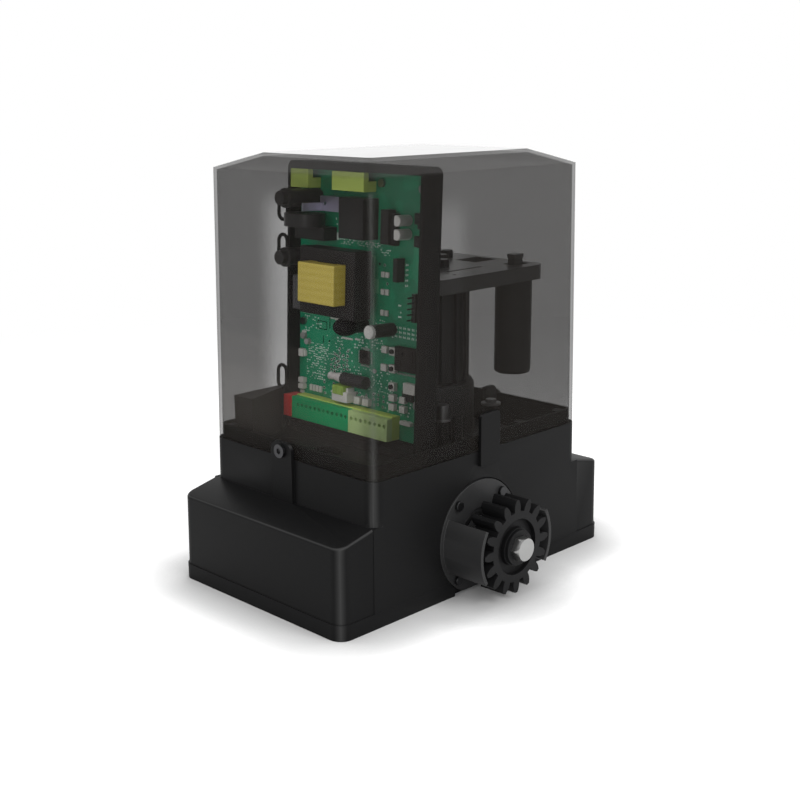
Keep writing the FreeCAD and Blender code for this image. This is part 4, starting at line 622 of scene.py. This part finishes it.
# Surface-mounted parts: light grey ceramic resistors and capacitors in pairs, a row of four
# at the lower left and a block at the right end of the terminals, soldered flat.
light_blocks = [
    (-24, 128.3, 3.2, 4.0, 1.6), (-28.4, 128.3, 3.2, 4.0, 1.6), (-24, 115.5, 3.4, 4.2, 1.6),
    (-28.5, 115.5, 3.4, 4.2, 1.6), (-24, 100.1, 3.2, 4.2, 1.6), (-28.4, 100.1, 3.2, 4.2, 1.6),
    (63.8, 33.6, 4.6, 2.6, 2.0), (63.8, 29.9, 4.6, 2.6, 2.0), (64, 26.4, 3.2, 2.2, 2.0),
    (62.7, 71.6, 3.6, 3.6, 2.2), (61.9, 57.6, 4.6, 4.4, 2.4), (62.6, 74.6, 4.2, 1.6, 1.6),
    (2.4, 76.4, 5.2, 1.4, 0.8), (13.6, 75.6, 12, 1.4, 0.6), (30.4, 89.4, 4.0, 1.6, 1.0),
    (24.8, 89.0, 6.4, 1.8, 0.7), (-28.2, 73.2, 5.6, 5.2, 2.6), (-27.8, 59.6, 5.8, 5.2, 2.6)]
light_blocks += [(53.6 - step * 3.7, 31.3, 2.6, 4.8, 1.8) for step in range(4)]
light_blocks += [(24.4, 26 + step * 2.6, 3.6, 1.8, 1.4) for step in range(2)]
light_blocks += [(-3.4 - step * 2.0, 33.4, 1.2, 1.6, 0.8) for step in range(4)]
chips("surface_parts", part_white, light_blocks, soften=0.00025)
chips("silver_block", part_white, [
    (-52.4, 21.4, 11.4, 2.8, 3.6), (-50, 22.6, 3.4, 1.2, 4.4), (-55, 22.6, 3.4, 1.2, 4.4)],
    soften=0.0003)

# Lime block: a two-way nylon terminal above the lower row, with a lever over each way,
# soldered to the board.
nylon_lime_block = moulded("nylon_lime_block", (0.24, 0.36, 0.07), 0.42)
chips("lime_block", nylon_lime_block, [
    (13.2, 36.8, 12.0, 7.0, 10.4), (10.3, 36.8, 3.8, 5.2, 11.1), (16.1, 36.8, 3.8, 5.2, 11.1)],
    soften=0.0004)

# Dark small parts: regulators, a bridge rectifier, diodes and connectors near the board's
# edges, in moulded black.
chips("dark_parts", part_black, [
    (-36.6, 162.0, 5.6, 23.0, 5.0), (-61.2, 167.8, 3.4, 7.6, 3.5), (-61.2, 154.6, 3.4, 7.6, 3.5),
    (-53, 41.6, 10.6, 7.4, 2.6), (7.6, 87.2, 3, 2.6, 1.4), (46.4, 153.5, 5.4, 8.0, 6),
    (54.2, 160.4, 5.6, 4.0, 6)], soften=0.0003)

# Logic chip: a square moulded package with tinned pins along all four sides. The pin rows
# of the connectors at the lower right are made with it.
tinned_pad = Finish("tinned_pad", Metallic=0.6)
worn = tinned_pad.noise(800, 2)
tinned_pad.set(Base_Color=tinned_pad.blend(worn, (0.34, 0.33, 0.32), (0.55, 0.54, 0.52)),
               Roughness=0.38 + worn * 0.15)
chip_across, chip_above, pin_pitch, pins_a_side = -6.2, 64.0, 1.05, 9
pins = []
for step in range(pins_a_side):
    shift = (step - (pins_a_side - 1) / 2) * pin_pitch
    for side in (-6.6, 6.6):
        pins += [(chip_across + shift, chip_above + side, 0.5, 1.3, 0.35),
                 (chip_across + side, chip_above + shift, 1.3, 0.5, 0.35)]
pins += [(-41.0 - step * 1.5, 57.3, 0.7, 1.4, 0.5) for step in range(13)]
pins += [(-39.4, 60.6 + step * 1.5, 1.0, 0.7, 0.5) for step in range(11)]
chips("chip_pins", tinned_pad.material, pins)
chip_brown = moulded("chip_brown", (0.030, 0.022, 0.020), 0.30, gloss=0.4)
chips("logic_chip", chip_brown, [
    (chip_across, chip_above, 10.4, 10.6, 1.6), (chip_across, chip_above, 9.2, 9.4, 1.8)],
    soften=0.0003)


# Pads and through holes: tinned screws and test pads, and the plated rings of through
# holes with a dark middle, all flush with the solder mask or just proud of it.
def discs(name, finish, rounds, sides):
    """Round things on the board, each from y, z, radius and how far it stands out, in mm."""
    bm = bmesh.new()
    turn = Matrix.Rotation(math.radians(90), 4, "Y")
    for across, above, radius, reach in rounds:
        middle = Matrix.Translation((board_face - reach / 2000, across / 1000, above / 1000))
        bmesh.ops.create_cone(bm, cap_ends=True, segments=sides, radius1=radius / 1000,
                              radius2=radius / 1000, depth=reach / 1000,
                              matrix=board_place @ middle @ turn)
    return rides_on_board(piece_from(bm, name, finish, 30))


hole_dark = Finish("hole_dark", Specular_IOR_Level=0.1)
worn = hole_dark.noise(800, 2)
hole_dark.set(Base_Color=hole_dark.blend(worn, (0.002, 0.006, 0.004), (0.004, 0.012, 0.008)),
              Roughness=0.6 + worn * 0.1)
discs("pale_rounds", tinned_pad.material, [
    (-20.5, 194.2, 2.0, 1.4), (-60.6, 190.8, 2.3, 1.2), (-60.2, 35.7, 2.3, 1.2),
    (-16.8, 55.0, 1.7, 0.7), (62.7, 71.6, 2.6, 2.8), (57.6, 67.6, 2.4, 3.4)], sides=20)
ring_places = [(-24.8, 135.2), (-27.9, 121.7), (2, 35), (-8, 35), (24.4, 56), (24.4, 51.6),
               (25.2, 60.8)]
ring_radius, ring_reach, hole_radius, hole_reach = 1.15, 0.16, 0.68, 0.22
draw = random.Random(7)
for column, low, high in ((13.6, 52, 67), (17.8, 51, 66), (22.4, 53, 67), (27.6, 44, 62),
                          (31.4, 49, 60), (-16.5, 29, 39), (-26.0, 29, 39), (-21.2, 30, 38),
                          (28.4, 30, 42), (39, 29, 41)):
    above = low
    while above < high:
        ring_places.append((column + draw.uniform(-0.7, 0.7), above))
        above += draw.uniform(3.0, 4.6)
discs("plated_rings", tinned_pad.material,
      [(*place, ring_radius, ring_reach) for place in ring_places], sides=12)
discs("ring_holes", hole_dark.material,
      [(*place, hole_radius, hole_reach) for place in ring_places]
      + [(34, 70.7, 0.9, 0.2), (-19.5, 135.6, 0.9, 0.2)], sides=10)
chips("mask_slots", hole_dark.material, [
    (41, 71.2, 0.7, 6.0, 0.12), (42.4, 85.2, 10.8, 0.6, 0.14), (42.4, 79.2, 10.8, 0.6, 0.14),
    (47.5, 82.2, 0.6, 6.4, 0.14), (37.3, 82.2, 0.6, 6.4, 0.14), (33.8, 84.8, 0.8, 8.4, 0.12)])

# Printed legend: plain white dashes and ticks beside the parts, screen printed and worn at
# their edges, with no letters or marks of any kind.
legend_ink = Finish("legend_ink", Roughness=0.6)
worn = legend_ink.noise(900, 2)
legend_ink.set(Base_Color=legend_ink.blend(worn, (0.42, 0.52, 0.46), (0.60, 0.66, 0.62)))
ink_reach = 0.12
dashes = [(27.3, 152.2, 5.0, 5.4), (28, 165.2, 1.0, 1.6), (27, 161.2, 1.0, 1.2)]
dashes += [(46.0 - step * 1.7, 143.4, 1.0, 1.3) for step in range(7)]
dashes += [(46.0 - step * 1.7, 141.4, 1.0, 1.0) for step in range(7)]


def scatter(left, right, low, high, across_step, up_step, share, long, tall):
    """Rows of dashes over a patch of the board, with gaps."""
    above = low
    while above < high:
        across = left
        while across > right:
            width = draw.uniform(*long)
            if draw.random() < share:
                dashes.append((across - width / 2, above + draw.uniform(-0.3, 0.3), width,
                               draw.uniform(*tall)))
            across -= width + draw.uniform(0.3, 1.0) * across_step
        above += up_step * draw.uniform(0.85, 1.15)


for patch in ((24, -22, 147.4, 150.4, 1.2, 1.5, 0.55, (0.6, 1.8), (0.4, 0.9)),
              (-20, -31, 142.6, 146.4, 0.8, 1.6, 0.6, (0.6, 1.6), (0.5, 1.0)),
              (56, 44, 79, 88, 1.4, 2.0, 0.5, (0.6, 2.0), (0.5, 1.0)),
              (64, 58, 76, 88, 1.2, 2.2, 0.5, (0.6, 2.0), (0.5, 1.2)),
              (58, 38, 55, 68, 0.9, 1.7, 0.62, (0.8, 3.2), (0.5, 0.9)),
              (60, 38, 39, 54, 1.0, 1.9, 0.55, (0.6, 2.2), (0.5, 1.1)),
              (37, 8, 42, 76, 1.8, 2.3, 0.38, (0.5, 1.5), (0.5, 1.3)),
              (6, -24, 70, 82, 1.6, 2.2, 0.36, (0.5, 1.6), (0.5, 1.4)),
              (6, -36, 38, 56, 1.7, 2.2, 0.34, (0.5, 1.6), (0.5, 1.3)),
              (-13, -36, 83, 96, 2.4, 2.8, 0.25, (0.5, 1.6), (0.5, 1.3)),
              (-28, -60, 24, 40, 2.2, 2.4, 0.3, (0.5, 1.6), (0.5, 1.5)),
              (38, -10, 27, 38, 1.8, 2.3, 0.3, (0.5, 1.6), (0.5, 1.4))):
    scatter(*patch)
for above in (137.2, 133.6, 130.0, 126.0, 122.2):
    dashes += [(-46.6, above, 1.0, 1.5), (-48.2, above + 0.2, 1.0, 1.3)]
for above in (91.0, 87.7, 84.4):
    for step in range(6):
        dashes += [(-37.2 - step * 4.3, above, 0.9, 1.6),
                   (-38.7 - step * 4.3, above - 0.1, 0.9, 1.4)]
dashes += [(-41.0, 107.2, 3.0, 1.3), (-42.2, 102.2, 1.0, 1.3), (-41.4, 98.8, 3.2, 1.3)]
chips("legend_dashes", legend_ink.material, [(*dash, ink_reach) for dash in dashes])

# Radio module: a low daughter board on pin rows, in front of the buttons' right side. It
# carries a screening can, a crystal and two chips under black lacquer.
module_face = 0.00665
bm = bmesh.new()
block(bm, -51.5, 69, 21, 18, 4.4)
for measures in ((-56.4, 71.8, 7.2, 8.6, 1.4), (-46.6, 73.6, 5.4, 3.0, 1.1),
                 (-46.2, 66.2, 3.6, 3.6, 0.9), (-55.4, 63.6, 4.4, 2.2, 0.8)):
    block(bm, *measures, foot=module_face)
eased(bm, 0.0004)
module_black = moulded("module_black", (0.020, 0.0175, 0.0175), 0.36)
radio_module = piece_from(bm, "radio_module_low", module_black, 30)
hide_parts("radio_module")
rides_on_board(radio_module)

# Terminal rows: nylon plug-in blocks in the usual wiring colours, pushed onto pin headers
# along the board's upper and lower edges.
nylon_yellow = moulded("nylon_yellow_green", (0.46, 0.58, 0.13), 0.42)
nylon_green = moulded("nylon_green", (0.000, 0.33, 0.115), 0.40)
# The lime plug is the green plug's nylon painted paler and yellower where glare from the cover's
# corner falls: a painted highlight.
nylon_green_painted_pale = moulded("nylon_green_painted_pale", (0.42, 0.56, 0.24), 0.42)
nylon_red = moulded("nylon_red", (0.52, 0.035, 0.03), 0.42)
for node, finish in (("upper_terminals", nylon_yellow), ("green_plug", nylon_green),
                     ("lime_plug", nylon_green_painted_pale), ("terminal_header", nylon_yellow),
                     ("mains_terminal", nylon_red)):
    rolled(node, finish, 0.0003)
